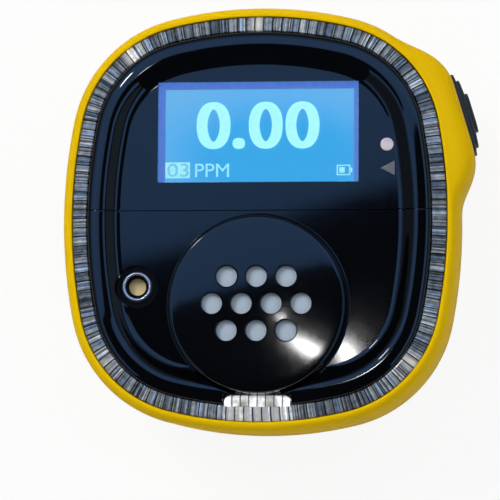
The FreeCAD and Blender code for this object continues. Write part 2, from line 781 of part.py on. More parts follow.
def clip_parts():
    plate_low = case_back - sheet_metal
    across = Vector(1, 0, 0)
    plate = block("base_plate", 0, 0, 2 * clip_half_width, 2 * clip_half_length, plate_low, case_back)
    base_pieces = [plate]
    lever_pieces = [block("lever_plate", 0, 1.0, 2 * lever_half_width, 38.0, 0, sheet_metal)]
    for side in (-1, 1):
        base_x = side * (clip_half_width - sheet_metal / 2)
        lever_x = side * (lever_half_width - sheet_metal / 2)
        word = "left" if side < 0 else "right"
        base_pieces.append(
            block(f"base_ear_{word}", base_x, hinge_y, sheet_metal, 2 * ear_reach, 2.0, plate_low)
        )
        lever_pieces.append(
            block(f"lever_ear_{word}", lever_x, hinge_y, sheet_metal, 2 * ear_reach, sheet_metal, 4.9)
        )
    jaw_y = -clip_half_length + sheet_metal / 2
    lever_pieces.append(
        block("lever_jaw", 0, jaw_y, 2 * lever_half_width, sheet_metal, sheet_metal, plate_low - 0.3)
    )
    pin_start = Vector(-clip_half_width, hinge_y, hinge_z)
    pin_length = 2 * clip_half_width
    base_bore = rod("base_bore", pin_start, pin_radius, pin_length, across)
    screw_holes = [
        disc(f"base_hole_{number}", 0, y, clip_head_radius, plate_low, case_back)
        for number, y in enumerate((clip_screw_y, -clip_screw_y))
    ]
    node(cut("clip_base", join("base_solid", base_pieces), [base_bore] + screw_holes))
    lever_bore = rod("lever_bore", pin_start, pin_radius + 0.05, pin_length, across)
    node(cut("clip_lever", join("lever_solid", lever_pieces), [lever_bore]))
    shank = rod("pin_shank", pin_start, pin_radius, pin_length, across)
    caps = [
        rod(f"pin_cap_{word}", Vector(x, hinge_y, hinge_z), 1.5, 0.5, across)
        for word, x in (("left", -clip_half_width - 0.5), ("right", clip_half_width))
    ]
    node(join("clip_pin", [shank] + caps))
    screws = []
    for number, y in enumerate((clip_screw_y, -clip_screw_y)):
        head = disc(f"clip_head_{number}", 0, y, clip_head_radius, plate_low, case_back)
        stem = disc(f"clip_shank_{number}", 0, y, 1.0, case_back, case_back + 3.2)
        drive = disc(f"clip_drive_{number}", 0, y, 0.8, plate_low - 1, plate_low + 0.7)
        solid = join(f"clip_screw_{number}", [head, stem])
        screws.append(cut(f"clip_fastener_{number}", solid, [drive]))
    node(group("clip_screws", screws))
    node(block("rating_plate", 0, label_y, *label_size, case_back, case_back + label_depth))


def clip_spring():
    # A torsion spring round the pin, with one leg along the lever and one along the base.
    wire_radius = 0.35
    coil_radius = hinge_z - sheet_metal - wire_radius - 0.05
    for name, value in (
        ("spring_wire_radius", wire_radius), ("spring_coil_radius", coil_radius),
        ("spring_pitch", 0.85), ("spring_turns", 6.5), ("spring_leg", 10.0),
    ):
        cell(name, value)
    length = sheet.spring_pitch * sheet.spring_turns
    radius = sheet.spring_coil_radius
    wire = sheet.spring_wire_radius
    along = Vector(0, 1, 0)
    helix = Part.makeHelix(sheet.spring_pitch, length, radius)
    section = Part.Wire([Part.Circle(Vector(radius, 0, 0), along, wire).toShape()])
    coil = Part.Wire(helix.Edges).makePipeShell([section], True, True)
    overlap = 0.2
    legs = [
        Part.makeCylinder(wire, sheet.spring_leg + overlap, Vector(x, overlap, z), along * -1)
        for x, z in ((radius, 0), (-radius, length))
    ]
    made = doc.addObject("Part::Feature", "clip_spring")
    made.Label = "clip_spring"
    made.Shape = coil.fuse(legs)
    tip_over = Rotation(Vector(0, 1, 0), 90).multiply(Rotation(Vector(0, 0, 1), 180))
    made.Placement = Placement(Vector(-length / 2, hinge_y, hinge_z), tip_over)
    return node(made)


def build():
    rear_shell()
    upper_cover()
    lower_cover()
    light_ring()
    beacon_parts()
    front_gasket()
    chassis()
    display_parts()
    sensor_parts()
    board_parts()
    alarm_parts()
    motor_parts()
    button_parts()
    case_screws()
    clip_parts()
    clip_spring()


def export():
    doc.recompute()
    for piece in doc.Objects:
        if "Invalid" in piece.State or "Error" in piece.State:
            raise ValueError(f"{piece.Label} is {piece.State}")
    for piece in nodes:
        shape = piece.Shape
        if shape.isNull() or not shape.isValid():
            raise ValueError(f"{piece.Label} has a bad shape")
        shape.exportStep(f"parts/{piece.Label}.step")
        print(piece.Label, len(shape.Solids), round(shape.Volume, 1))


build()
export()
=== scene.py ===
import math
import bmesh
import bpy
import numpy as np
from mathutils import Matrix, Vector


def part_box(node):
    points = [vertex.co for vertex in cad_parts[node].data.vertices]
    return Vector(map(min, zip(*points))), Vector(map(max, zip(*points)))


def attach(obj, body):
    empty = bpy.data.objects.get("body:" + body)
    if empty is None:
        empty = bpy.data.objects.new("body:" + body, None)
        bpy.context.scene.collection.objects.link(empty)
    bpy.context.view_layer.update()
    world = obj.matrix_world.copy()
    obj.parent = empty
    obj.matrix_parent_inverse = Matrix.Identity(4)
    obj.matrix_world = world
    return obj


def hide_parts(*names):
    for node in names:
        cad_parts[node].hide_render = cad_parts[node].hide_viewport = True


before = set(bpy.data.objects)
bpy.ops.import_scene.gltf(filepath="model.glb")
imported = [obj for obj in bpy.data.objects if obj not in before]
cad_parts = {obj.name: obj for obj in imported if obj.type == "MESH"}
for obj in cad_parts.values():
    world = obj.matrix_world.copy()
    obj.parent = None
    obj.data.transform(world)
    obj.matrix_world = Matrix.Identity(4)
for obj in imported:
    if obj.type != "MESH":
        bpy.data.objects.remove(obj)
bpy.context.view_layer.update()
scene = bpy.context.scene
mm = 0.001
print("frame loaded")


def boxOf(node):
    low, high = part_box(node)
    return Vector(low) / mm, Vector(high) / mm


shellLow, shellHigh = boxOf("rear_shell")
coverLow, coverHigh = boxOf("upper_cover")
grilleLow, grilleHigh = boxOf("sensor_grille")
ringLow, ringHigh = boxOf("light_ring")
windowLow, windowHigh = boxOf("display_window")
keyLow, keyHigh = boxOf("side_button")
leverLow, leverHigh = boxOf("clip_lever")
baseLow, baseHigh = boxOf("clip_base")
lcdLow, lcdHigh = boxOf("lcd_glass")
paneMiddle = (windowLow + windowHigh) / 2
discMiddle = (grilleLow + grilleHigh) / 2
lensMiddle = sum(boxOf("status_lens"), Vector()) / 2
arrowLow, arrowHigh = boxOf("arrow_marker")

# Front outline in millimetres, along the light ring's outer edge; insets run inwards from it.
front = {
    "halfWidth": 30.15, "halfHeight": 32.55, "sideRadius": 82.0, "endRadius": 60.0,
    "cornerRadius": 19.3, "stations": 720, "lipZ": 29.0, "backZ": shellLow.z,
    "splitY": coverLow.y - 0.05, "floorZ": 28.6, "crestZ": 30.4, "skirtZ": coverLow.z,
}


# Materials

def newMaterial(name):
    made = bpy.data.materials.new(name)
    made.use_nodes = True
    nodes = made.node_tree.nodes
    nodes.clear()
    output = nodes.new("ShaderNodeOutputMaterial")
    shader = nodes.new("ShaderNodeBsdfPrincipled")
    made.node_tree.links.new(shader.outputs["BSDF"], output.inputs["Surface"])
    return made, made.node_tree, shader


def objectPoint(tree, scale=(1, 1, 1)):
    place = tree.nodes.new("ShaderNodeTexCoord")
    mapping = tree.nodes.new("ShaderNodeMapping")
    mapping.inputs["Scale"].default_value = scale
    tree.links.new(place.outputs["Object"], mapping.inputs["Vector"])
    return mapping.outputs["Vector"]


def noiseOn(tree, point, scale, detail=3.0, rough=0.5):
    noise = tree.nodes.new("ShaderNodeTexNoise")
    noise.inputs["Scale"].default_value = scale
    noise.inputs["Detail"].default_value = detail
    noise.inputs["Roughness"].default_value = rough
    tree.links.new(point, noise.inputs["Vector"])
    return noise.outputs["Fac"]


def rampOn(tree, value, stops):
    ramp = tree.nodes.new("ShaderNodeValToRGB")
    ramp.color_ramp.elements[0].position = stops[0][0]
    ramp.color_ramp.elements[0].color = (*stops[0][1], 1)
    ramp.color_ramp.elements[1].position = stops[-1][0]
    ramp.color_ramp.elements[1].color = (*stops[-1][1], 1)
    for position, colour in stops[1:-1]:
        ramp.color_ramp.elements.new(position).color = (*colour, 1)
    tree.links.new(value, ramp.inputs["Fac"])
    return ramp.outputs["Color"]


def rangeOn(tree, value, low, high, fromLow=0.0, fromHigh=1.0):
    node = tree.nodes.new("ShaderNodeMapRange")
    node.inputs["From Min"].default_value = fromLow
    node.inputs["From Max"].default_value = fromHigh
    node.inputs["To Min"].default_value = low
    node.inputs["To Max"].default_value = high
    tree.links.new(value, node.inputs["Value"])
    return node.outputs["Result"]


def bumpOn(tree, shader, height, strength, distance):
    bump = tree.nodes.new("ShaderNodeBump")
    bump.inputs["Strength"].default_value = strength
    bump.inputs["Distance"].default_value = distance
    tree.links.new(height, bump.inputs["Height"])
    tree.links.new(bump.outputs["Normal"], shader.inputs["Normal"])


def mouldedPlastic(name, dark, light, roughness, grain=900.0, bump=0.1, ior=1.46, shine=0.5):
    made, tree, shader = newMaterial(name)
    point = objectPoint(tree)
    broad = noiseOn(tree, point, 60.0)
    fine = noiseOn(tree, point, grain, 2.0)
    tree.links.new(rampOn(tree, broad, [(0.3, dark), (0.7, light)]), shader.inputs["Base Color"])
    tree.links.new(rangeOn(tree, fine, roughness[0], roughness[1], 0.3, 0.7), shader.inputs["Roughness"])
    shader.inputs["IOR"].default_value = ior
    shader.inputs["Specular IOR Level"].default_value = shine
    bumpOn(tree, shader, fine, bump, 0.00002)
    return made


def clearPlastic(name, tint, roughness, ior=1.5, bump=0.15, clearness=1.0):
    made, tree, shader = newMaterial(name)
    point = objectPoint(tree)
    haze = noiseOn(tree, point, 300.0)
    tree.links.new(rampOn(tree, haze, [(0.2, tint), (0.8, tuple(min(1, c * 1.06) for c in tint))]),
                   shader.inputs["Base Color"])
    tree.links.new(rangeOn(tree, haze, roughness[0], roughness[1], 0.3, 0.7), shader.inputs["Roughness"])
    shader.inputs["IOR"].default_value = ior
    shader.inputs["Transmission Weight"].default_value = clearness
    bumpOn(tree, shader, noiseOn(tree, point, 900.0), bump, 0.00002)
    return made


def ribbedPlastic(name, dark, mid, light, clearness, sparkleSpread, glowTint, glowEmission, streaks, sparkleTints):
    # Clear plastic with radial prisms, coloured with painted shade in their valleys, painted highlight lines beside
    # them, painted sparkle that differs a little from one prism to the next, and a painted glow set from the glow
    # attribute, which marks the lamps beneath.
    made, tree, shader = newMaterial(name)

    def attribute(label):
        node = tree.nodes.new("ShaderNodeAttribute")
        node.attribute_name = label
        return node.outputs["Fac"]

    def maths(operation, first, second=None):
        node = tree.nodes.new("ShaderNodeMath")
        node.operation = operation
        for slot, value in enumerate((first, second)):
            if value is None:
                continue
            if isinstance(value, float):
                node.inputs[slot].default_value = value
            else:
                tree.links.new(value, node.inputs[slot])
        return node.outputs[0]

    def lineNoise(scale):
        # Painted thin bright and dark lines that run across the ring, for light breaking up in the prisms.
        node = tree.nodes.new("ShaderNodeTexNoise")
        node.noise_dimensions = "1D"
        node.inputs["Scale"].default_value = scale
        node.inputs["Detail"].default_value = 1.0
        tree.links.new(cells, node.inputs["W"])
        return node.outputs["Fac"]

    cells = attribute("cells")
    number = maths("FLOOR", cells)
    change = tree.nodes.new("ShaderNodeTexWhiteNoise")
    change.noise_dimensions = "1D"
    tree.links.new(number, change.inputs["W"])
    haze = noiseOn(tree, objectPoint(tree), 1100.0)
    glow = attribute("glow")
    lines = lineNoise(3.4)
    # Painted sparkle: each prism's brightness differs at random, with fine haze and the painted lines of light.
    paintedSparkle = maths("MULTIPLY", rangeOn(tree, change.outputs["Value"], *sparkleSpread),
                   rangeOn(tree, haze, 0.6, 1.3, 0.3, 0.7))
    paintedSparkle = maths("MULTIPLY", paintedSparkle, rangeOn(tree, lines, *streaks, 0.36, 0.64))
    even = maths("MULTIPLY", glow, 1.05)
    shade = maths("MAXIMUM", paintedSparkle, even)
    across = maths("FRACT", cells)
    # Painted shade in each prism's valleys, with painted highlight lines beside them.
    ribShadeAndHighlight = rampOn(tree, across, [
        (0.0, dark), (0.05, dark), (0.10, light), (0.19, mid), (0.50, mid), (0.56, light), (0.63, mid),
        (0.90, mid), (0.95, dark), (1.0, dark)])
    # Where the glow attribute is high the ribs take the glow tint and the sparkle tints fade out: in the ring this is
    # painted glow from the lamps beneath.
    litRibs = rampOn(tree, across, [
        (0.0, dark), (0.06, dark), (0.12, glowTint), (0.88, glowTint), (0.94, dark), (1.0, dark)])
    lit = tree.nodes.new("ShaderNodeMix")
    lit.data_type = "RGBA"
    tree.links.new(glow, lit.inputs["Factor"])
    tree.links.new(ribShadeAndHighlight, lit.inputs["A"])
    tree.links.new(litRibs, lit.inputs["B"])
    hue = tree.nodes.new("ShaderNodeMix")
    hue.data_type = "RGBA"
    hue.blend_type = "MULTIPLY"
    tree.links.new(maths("SUBTRACT", 1.0, glow), hue.inputs["Factor"])
    tree.links.new(lit.outputs["Result"], hue.inputs["A"])
    tree.links.new(rampOn(tree, lineNoise(1.3), [(0.40, sparkleTints[0]), (0.5, (1, 1, 1)), (0.60, sparkleTints[1])]),
                   hue.inputs["B"])
    colour = hue.outputs["Result"]
    grade = tree.nodes.new("ShaderNodeVectorMath")
    grade.operation = "SCALE"
    tree.links.new(colour, grade.inputs[0])
    tree.links.new(shade, grade.inputs["Scale"])
    tree.links.new(grade.outputs[0], shader.inputs["Base Color"])
    # Painted glow: the surface emits its own colour, with a strength set from the glow attribute.
    tree.links.new(grade.outputs[0], shader.inputs["Emission Color"])
    tree.links.new(rangeOn(tree, glow, glowEmission[0], glowEmission[1]), shader.inputs["Emission Strength"])
    tree.links.new(rangeOn(tree, haze, 0.05, 0.14, 0.3, 0.7), shader.inputs["Roughness"])
    shader.inputs["IOR"].default_value = 1.5
    shader.inputs["Transmission Weight"].default_value = clearness
    return made


def brushedMetal(name, dark, light, roughness, stretch, grain=700.0, metal=1.0):
    made, tree, shader = newMaterial(name)
    streaks = noiseOn(tree, objectPoint(tree, stretch), grain, 4.0)
    wear = noiseOn(tree, objectPoint(tree), 90.0)
    tree.links.new(rampOn(tree, streaks, [(0.3, dark), (0.7, light)]), shader.inputs["Base Color"])
    tree.links.new(rangeOn(tree, wear, roughness[0], roughness[1], 0.3, 0.7), shader.inputs["Roughness"])
    shader.inputs["Metallic"].default_value = metal
    bumpOn(tree, shader, streaks, 0.15, 0.00002)
    return made


def displayGlow(name):
    # Backlit panel: a deep middle, low and to the right, that pales towards its edges.
    made, tree, shader = newMaterial(name)
    middle = (lcdLow + lcdHigh) / 2 + Vector((3.0, -4.0, 0))
    size = {"across": 16.15, "along": 8.1}
    place = tree.nodes.new("ShaderNodeTexCoord")
    mapping = tree.nodes.new("ShaderNodeMapping")
    mapping.inputs["Location"].default_value = (-middle.x / size["across"], -middle.y / size["along"], 0)
    mapping.inputs["Scale"].default_value = (1 / (size["across"] * mm), 1 / (size["along"] * mm), 0)
    tree.links.new(place.outputs["Object"], mapping.inputs["Vector"])
    gradient = tree.nodes.new("ShaderNodeTexGradient")
    gradient.gradient_type = "SPHERICAL"
    half = tree.nodes.new("ShaderNodeVectorMath")
    half.operation = "MULTIPLY"
    half.inputs[1].default_value = (0.55, 0.55, 0.55)
    tree.links.new(mapping.outputs["Vector"], half.inputs[0])
    tree.links.new(half.outputs["Vector"], gradient.inputs["Vector"])
    grain = noiseOn(tree, objectPoint(tree), 1500.0)
    blue = rampOn(tree, gradient.outputs["Fac"], [
        (0.1, (0.12, 0.43, 0.80)), (0.35, (0.075, 0.41, 0.82)), (0.6, (0.012, 0.36, 0.79)), (1.0, (0.003, 0.36, 0.78))])
    mix = tree.nodes.new("ShaderNodeMix")
    mix.data_type = "RGBA"
    mix.blend_type = "MULTIPLY"
    mix.inputs["Factor"].default_value = 0.12
    tree.links.new(blue, mix.inputs["A"])
    tree.links.new(rampOn(tree, grain, [(0.3, (0.75, 0.75, 0.75)), (0.7, (1, 1, 1))]), mix.inputs["B"])
    shader.inputs["Base Color"].default_value = (0.005, 0.01, 0.02, 1)
    tree.links.new(mix.outputs["Result"], shader.inputs["Emission Color"])
    shader.inputs["Emission Strength"].default_value = 1.0
    tree.links.new(rangeOn(tree, grain, 0.35, 0.5), shader.inputs["Roughness"])
    return made


def glowingInk(name, dark, light, strength=1.0):
    made, tree, shader = newMaterial(name)
    grain = noiseOn(tree, objectPoint(tree), 1200.0)
    shader.inputs["Base Color"].default_value = (0.05, 0.08, 0.1, 1)
    tree.links.new(rampOn(tree, grain, [(0.3, dark), (0.7, light)]), shader.inputs["Emission Color"])
    shader.inputs["Emission Strength"].default_value = strength
    tree.links.new(rangeOn(tree, grain, 0.35, 0.5), shader.inputs["Roughness"])
    return made


def weaveCloth(name, dark, light):
    made, tree, shader = newMaterial(name)
    point = objectPoint(tree)
    wave = tree.nodes.new("ShaderNodeTexWave")
    wave.inputs["Scale"].default_value = 2600.0
    wave.inputs["Distortion"].default_value = 2.0
    tree.links.new(point, wave.inputs["Vector"])
    tree.links.new(rampOn(tree, wave.outputs["Fac"], [(0.2, dark), (0.8, light)]), shader.inputs["Base Color"])
    tree.links.new(rangeOn(tree, noiseOn(tree, point, 400.0), 0.7, 0.9), shader.inputs["Roughness"])
    bumpOn(tree, shader, wave.outputs["Fac"], 0.2, 0.00003)
    return made


yellowPlastic = mouldedPlastic(
    "yellowPlastic", (0.80, 0.50, 0.0012), (0.83, 0.53, 0.0018), (0.38, 0.46), 1400.0, 0.015, 1.45, 0.02)
glossBlack = mouldedPlastic("glossBlack", (0.0008, 0.0008, 0.001), (0.0016, 0.0016, 0.002), (0.040, 0.052), 700.0, 0.01)
grilleBlack = mouldedPlastic("grilleBlack", (0.0008, 0.0008, 0.001), (0.0016, 0.0016, 0.002), (0.055, 0.070), 900.0, 0.02)
# wellBlack: matte black, used as painted shade on the port's well floor and for the choke ring in the bore.
wellBlack = mouldedPlastic("wellBlack", (0.001, 0.001, 0.0016), (0.002, 0.002, 0.003), (0.32, 0.42), 900.0, 0.02, 1.46, 0.08)
keyRubber = mouldedPlastic("keyRubber", (0.018, 0.016, 0.014), (0.030, 0.027, 0.024), (0.45, 0.62), 1800.0, 0.4)
innerPlastic = mouldedPlastic("innerPlastic", (0.02, 0.02, 0.022), (0.035, 0.035, 0.038), (0.5, 0.65))
foamBlack = mouldedPlastic("foamBlack", (0.02, 0.02, 0.02), (0.05, 0.05, 0.05), (0.8, 0.95), 2500.0, 0.6)
boardWhite = mouldedPlastic("boardWhite", (0.42, 0.45, 0.49), (0.55, 0.58, 0.62), (0.4, 0.55))
boardGreen = mouldedPlastic("boardGreen", (0.01, 0.10, 0.04), (0.02, 0.15, 0.06), (0.3, 0.45), 500.0)
chipBlack = mouldedPlastic("chipBlack", (0.012, 0.012, 0.013), (0.02, 0.02, 0.022), (0.5, 0.7), 2500.0, 0.3)
sensorWhite = mouldedPlastic("sensorWhite", (0.52, 0.52, 0.48), (0.60, 0.60, 0.56), (0.45, 0.6))
flexAmber = mouldedPlastic("flexAmber", (0.35, 0.13, 0.02), (0.45, 0.18, 0.03), (0.3, 0.4))
lampPale = glowingInk("lampPale", (0.80, 0.74, 0.58), (0.95, 0.90, 0.76), 0.8)
guideBlue = mouldedPlastic("guideBlue", (0.35, 0.50, 0.75), (0.42, 0.58, 0.82), (0.3, 0.4))
plateGrey = mouldedPlastic("plateGrey", (0.48, 0.48, 0.47), (0.55, 0.55, 0.54), (0.4, 0.55))
markerGrey = mouldedPlastic("markerGrey", (0.10, 0.11, 0.12), (0.17, 0.18, 0.19), (0.25, 0.35))
ceramicPale = mouldedPlastic("ceramicPale", (0.60, 0.58, 0.52), (0.68, 0.66, 0.60), (0.4, 0.5))
# ringClear: painted shade in the prism valleys (dark), painted highlight lines (light), a warm white painted glow near
# the lamps with emission up to 0.14, and painted sparkle ranges and tints.
ringClear = ribbedPlastic(
    "ringClear", (0.03, 0.035, 0.045), (0.38, 0.44, 0.52), (1.0, 1.0, 1.0), 0.5, (0.35, 1.25),
    (1.0, 0.98, 0.94), (0.0, 0.14), (0.36, 1.65), ((0.70, 0.86, 1.08), (1.04, 1.0, 0.92)))
# tabClear: painted shade between the ribs; away from the two lamp spots an emission of 0.38 paints the tab glowing, and
# the spots take the lamps' own darker tint.
tabClear = ribbedPlastic(
    "tabClear", (0.12, 0.12, 0.13), (1.0, 1.0, 1.0), (1.0, 1.0, 1.0), 0.08, (1.0, 1.1),
    (0.20, 0.18, 0.13), (0.38, 0.0), (1.0, 1.0), ((1, 1, 1), (1, 1, 1)))
paneClear = clearPlastic("paneClear", (0.97, 0.98, 1.0), (0.0, 0.02), 1.3, 0.0)
lensClear = clearPlastic("lensClear", (0.64, 0.58, 0.66), (0.15, 0.3), 1.5, 0.5, 0.25)
springSteel = brushedMetal("springSteel", (0.42, 0.42, 0.43), (0.56, 0.56, 0.57), (0.25, 0.38), (1, 0.05, 1))
zincSteel = brushedMetal("zincSteel", (0.48, 0.48, 0.47), (0.60, 0.60, 0.59), (0.28, 0.40), (1, 1, 0.2))
polishedRing = brushedMetal("polishedRing", (0.54, 0.49, 0.49), (0.62, 0.57, 0.57), (0.16, 0.24), (1, 1, 0.2), 700.0, 0.85)
brassDisc = brushedMetal(
    "brassDisc", (0.88, 0.62, 0.22), (1.0, 0.80, 0.36), (0.35, 0.50), (1, 0.1, 1), 700.0, 0.25)
goldFlash = brushedMetal("goldFlash", (0.66, 0.48, 0.20), (0.78, 0.60, 0.28), (0.25, 0.35), (1, 1, 0.2))
shieldTin = brushedMetal("shieldTin", (0.55, 0.56, 0.58), (0.66, 0.67, 0.69), (0.3, 0.42), (0.1, 1, 1))
weightMetal = brushedMetal("weightMetal", (0.26, 0.25, 0.24), (0.34, 0.33, 0.32), (0.4, 0.55), (1, 0.2, 1))
pouchFoil = brushedMetal("pouchFoil", (0.50, 0.52, 0.56), (0.62, 0.64, 0.68), (0.32, 0.46), (1, 0.1, 1))
membraneCloth = weaveCloth("membraneCloth", (0.40, 0.48, 0.57), (0.45, 0.53, 0.62))
panelGlow = displayGlow("panelGlow")
digitGlow = glowingInk("digitGlow", (0.33, 0.88, 0.93), (0.37, 0.93, 0.97))
smallGlow = glowingInk("smallGlow", (0.24, 0.72, 0.84), (0.32, 0.80, 0.90))
plateInk = glowingInk("plateInk", (0.10, 0.45, 0.66), (0.14, 0.52, 0.72))
frameGlow = glowingInk("frameGlow", (0.05, 0.14, 0.54), (0.065, 0.17, 0.60))
print("materials made")


# Mesh helpers, in millimetres

def newObject(name, verts, faces, material, smooth=True):
    mesh = bpy.data.meshes.new(name)
    mesh.from_pydata([(x * mm, y * mm, z * mm) for x, y, z in verts], [], faces)
    mesh.validate()
    mesh.update()
    made = bpy.data.objects.new(name, mesh)
    scene.collection.objects.link(made)
    if material:
        mesh.materials.append(material)
    if smooth:
        smoothEdges(made)
    return made


def smoothEdges(obj, degrees=32.0):
    mesh = obj.data
    mesh.polygons.foreach_set("use_smooth", [True] * len(mesh.polygons))
    mesh.set_sharp_from_angle(angle=math.radians(degrees))


def faceOut(obj):
    work = bmesh.new()
    work.from_mesh(obj.data)
    bmesh.ops.remove_doubles(work, verts=work.verts, dist=1e-7)
    bmesh.ops.recalc_face_normals(work, faces=work.faces)
    work.to_mesh(obj.data)
    work.free()


def settle(obj):
    # Applies what modifiers the piece has.
    graph = bpy.context.evaluated_depsgraph_get()
    mesh = bpy.data.meshes.new_from_object(obj.evaluated_get(graph))
    obj.modifiers.clear()
    obj.data = mesh
    return obj


def cutWith(obj, cutters):
    for cutter in cutters:
        modifier = obj.modifiers.new("cut", "BOOLEAN")
        modifier.operation = "DIFFERENCE"
        modifier.solver = "EXACT"
        modifier.object = cutter
    settle(obj)
    for cutter in cutters:
        bpy.data.objects.remove(cutter)
    return obj


def softEdges(obj, width, segments=2, degrees=40.0, bias=80):
    modifier = obj.modifiers.new("soft", "BEVEL")
    modifier.width = width * mm
    modifier.segments = segments
    modifier.limit_method = "ANGLE"
    modifier.angle_limit = math.radians(degrees)
    modifier.use_clamp_overlap = True
    settle(obj)
    smoothEdges(obj)
    return evenShade(obj, bias)


def evenShade(obj, bias=80):
    # Broad flat faces keep their own direction right up to their rounded edges.
    modifier = obj.modifiers.new("even", "WEIGHTED_NORMAL")
    modifier.mode = "FACE_AREA"
    modifier.weight = bias
    modifier.keep_sharp = True
    return settle(obj)


def loopsToMesh(name, loops, material, closed=False, capStart=True, capEnd=True, smooth=True):
    # Joins loops of points, each the same length, into one skin.
    count = len(loops[0])
    verts = [tuple(point) for loop in loops for point in loop]
    faces = []
    rows = len(loops) if closed else len(loops) - 1
    for row in range(rows):
        base = row * count
        above = ((row + 1) % len(loops)) * count
        for place in range(count):
            after = (place + 1) % count
            faces.append((base + place, base + after, above + after, above + place))
    if capStart and not closed:
        faces.append(tuple(reversed(range(count))))
    if capEnd and not closed:
        last = (len(loops) - 1) * count
        faces.append(tuple(range(last, last + count)))
    made = newObject(name, verts, faces, material, False)
    faceOut(made)
    if smooth:
        smoothEdges(made)
    return made


def rodMesh(name, centre, radius, low, high, count=48, material=None):
    loops = []
    for z in (low, high):
        loops.append([
            (centre[0] + radius * math.cos(2 * math.pi * i / count),
             centre[1] + radius * math.sin(2 * math.pi * i / count), z) for i in range(count)])
    return loopsToMesh(name, loops, material)


def turned(name, centre, profile, count, material, closed=False):
    # Turns (radius, height) points about a vertical line.
    loops = [
        [(centre[0] + r * math.cos(2 * math.pi * i / count),
          centre[1] + r * math.sin(2 * math.pi * i / count), z) for i in range(count)]
        for r, z in profile]
    return loopsToMesh(name, loops, material, closed)


def roundedLoop(halfAcross, halfAlong, bend, perCorner=8):
    points = []
    for turn, (sx, sy) in enumerate(((1, 1), (-1, 1), (-1, -1), (1, -1))):
        for step in range(perCorner + 1):
            angle = (turn + step / perCorner) * math.pi / 2
            x = sx * (halfAcross - bend) + bend * math.cos(angle)
            y = sy * (halfAlong - bend) + bend * math.sin(angle)
            points.append((x, y))
    return points


def roundedPlate(name, centre, half, bend, low, high, material, perCorner=8):
    loops = [
        [(centre[0] + x, centre[1] + y, z) for x, y in roundedLoop(*half, bend, perCorner)]
        for z in (low, high)]
    return loopsToMesh(name, loops, material)


def place(obj, body, *nodes, slot=None):
    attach(obj, body)
    if nodes:
        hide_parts(*nodes)
    return obj


# The front outline as stations: point, outward direction, distance along it

def cornerCentre():
    side = Vector((front["halfWidth"] - front["sideRadius"], 0))
    end = Vector((0, front["halfHeight"] - front["endRadius"]))
    gap = end - side
    toSide = front["sideRadius"] - front["cornerRadius"]
    toEnd = front["endRadius"] - front["cornerRadius"]
    along = (toSide ** 2 - toEnd ** 2 + gap.length ** 2) / (2 * gap.length)
    across = math.sqrt(toSide ** 2 - along ** 2)
    unit = gap.normalized()
    return side + unit * along + Vector((-unit.y, unit.x)) * across


def outlineStations(count):
    corner = cornerCentre()
    sideX = front["halfWidth"] - front["sideRadius"]
    endY = front["halfHeight"] - front["endRadius"]
    sideTurn = math.atan2(corner.y, corner.x - sideX)
    endTurn = math.atan2(corner.y - endY, corner.x)
    quarter = [
        (Vector((sideX, 0)), front["sideRadius"], 0, sideTurn),
        (corner, front["cornerRadius"], sideTurn, endTurn),
        (Vector((0, endY)), front["endRadius"], endTurn, math.pi / 2)]
    lengths = [radius * (stop - start) for _, radius, start, stop in quarter]
    total = sum(lengths)
    found = []
    for index in range(count):
        distance = 4 * total * index / count
        part, rest = int(distance // total) % 4, distance % total
        walk = rest if part % 2 == 0 else total - rest
        piece = 0
        while piece < 2 and walk > lengths[piece]:
            walk -= lengths[piece]
            piece += 1
        centre, radius, start, _ = quarter[piece]
        angle = start + walk / radius
        normal = Vector((math.cos(angle), math.sin(angle)))
        point = centre + normal * radius
        sx = 1 if part in (0, 3) else -1
        sy = 1 if part in (0, 1) else -1
        found.append((Vector((sx * point.x, sy * point.y)), Vector((sx * normal.x, sy * normal.y)), distance))
    return found


stations = outlineStations(front["stations"])


def outlineLoop(inset, z):
    return [(p.x - n.x * inset, p.y - n.y * inset, z) for p, n, _ in stations]


# Side key guard, in the key's own directions

guard = {
    "angle": 16.74, "face": 36.0, "middle": 7.0, "halfLength": 12.9, "corner": 8.0,
    "melt": 2.4, "topZ": 28.8, "topRound": 3.0, "lowZ": 11.2, "lowRound": 4.0,
}
keyTurn = Matrix.Rotation(math.radians(guard["angle"]), 4, "Z")


def keySpace(out, across, z):
    return tuple(keyTurn @ Vector((out, across, z)))


def guardDistance(point):
    turn = math.radians(-guard["angle"])
    out = point.x * math.cos(turn) - point.y * math.sin(turn)
    across = point.x * math.sin(turn) + point.y * math.cos(turn)
    depth = guard["corner"]
    dx = abs(out - (guard["face"] - depth)) - (depth - guard["corner"])
    dy = abs(across - guard["middle"]) - (guard["halfLength"] - guard["corner"])
    outside = math.hypot(max(dx, 0), max(dy, 0))
    return outside + min(max(dx, dy), 0) - guard["corner"]


def guardReach(point, normal, base):
    low, high = base - 0.5, base + 6.0
    for _ in range(30):
        middle = (low + high) / 2
        a, b = middle - base, guardDistance(point + normal * middle)
        near = max(guard["melt"] - abs(a - b), 0) / guard["melt"]
        value = min(a, b) - near * near * guard["melt"] / 4
        if value < 0:
            low = middle
        else:
            high = middle
    return (low + high) / 2


def guardWeight(z):
    top, low = guard["topZ"], guard["lowZ"]
    if z >= top or z <= low:
        return 0.0
    if z > top - guard["topRound"]:
        return math.sqrt(1 - ((z - top + guard["topRound"]) / guard["topRound"]) ** 2)
    if z < low + guard["lowRound"]:
        return math.sqrt(1 - ((low + guard["lowRound"] - z) / guard["lowRound"]) ** 2)
    return 1.0


shell = {
    "outset": 1.75, "lipFlat": 0.30, "lipDrop": 3.6, "backRound": 5.0, "wall": 1.2,
    "ledgeZ": 24.0, "insideZ": 9.0,
}


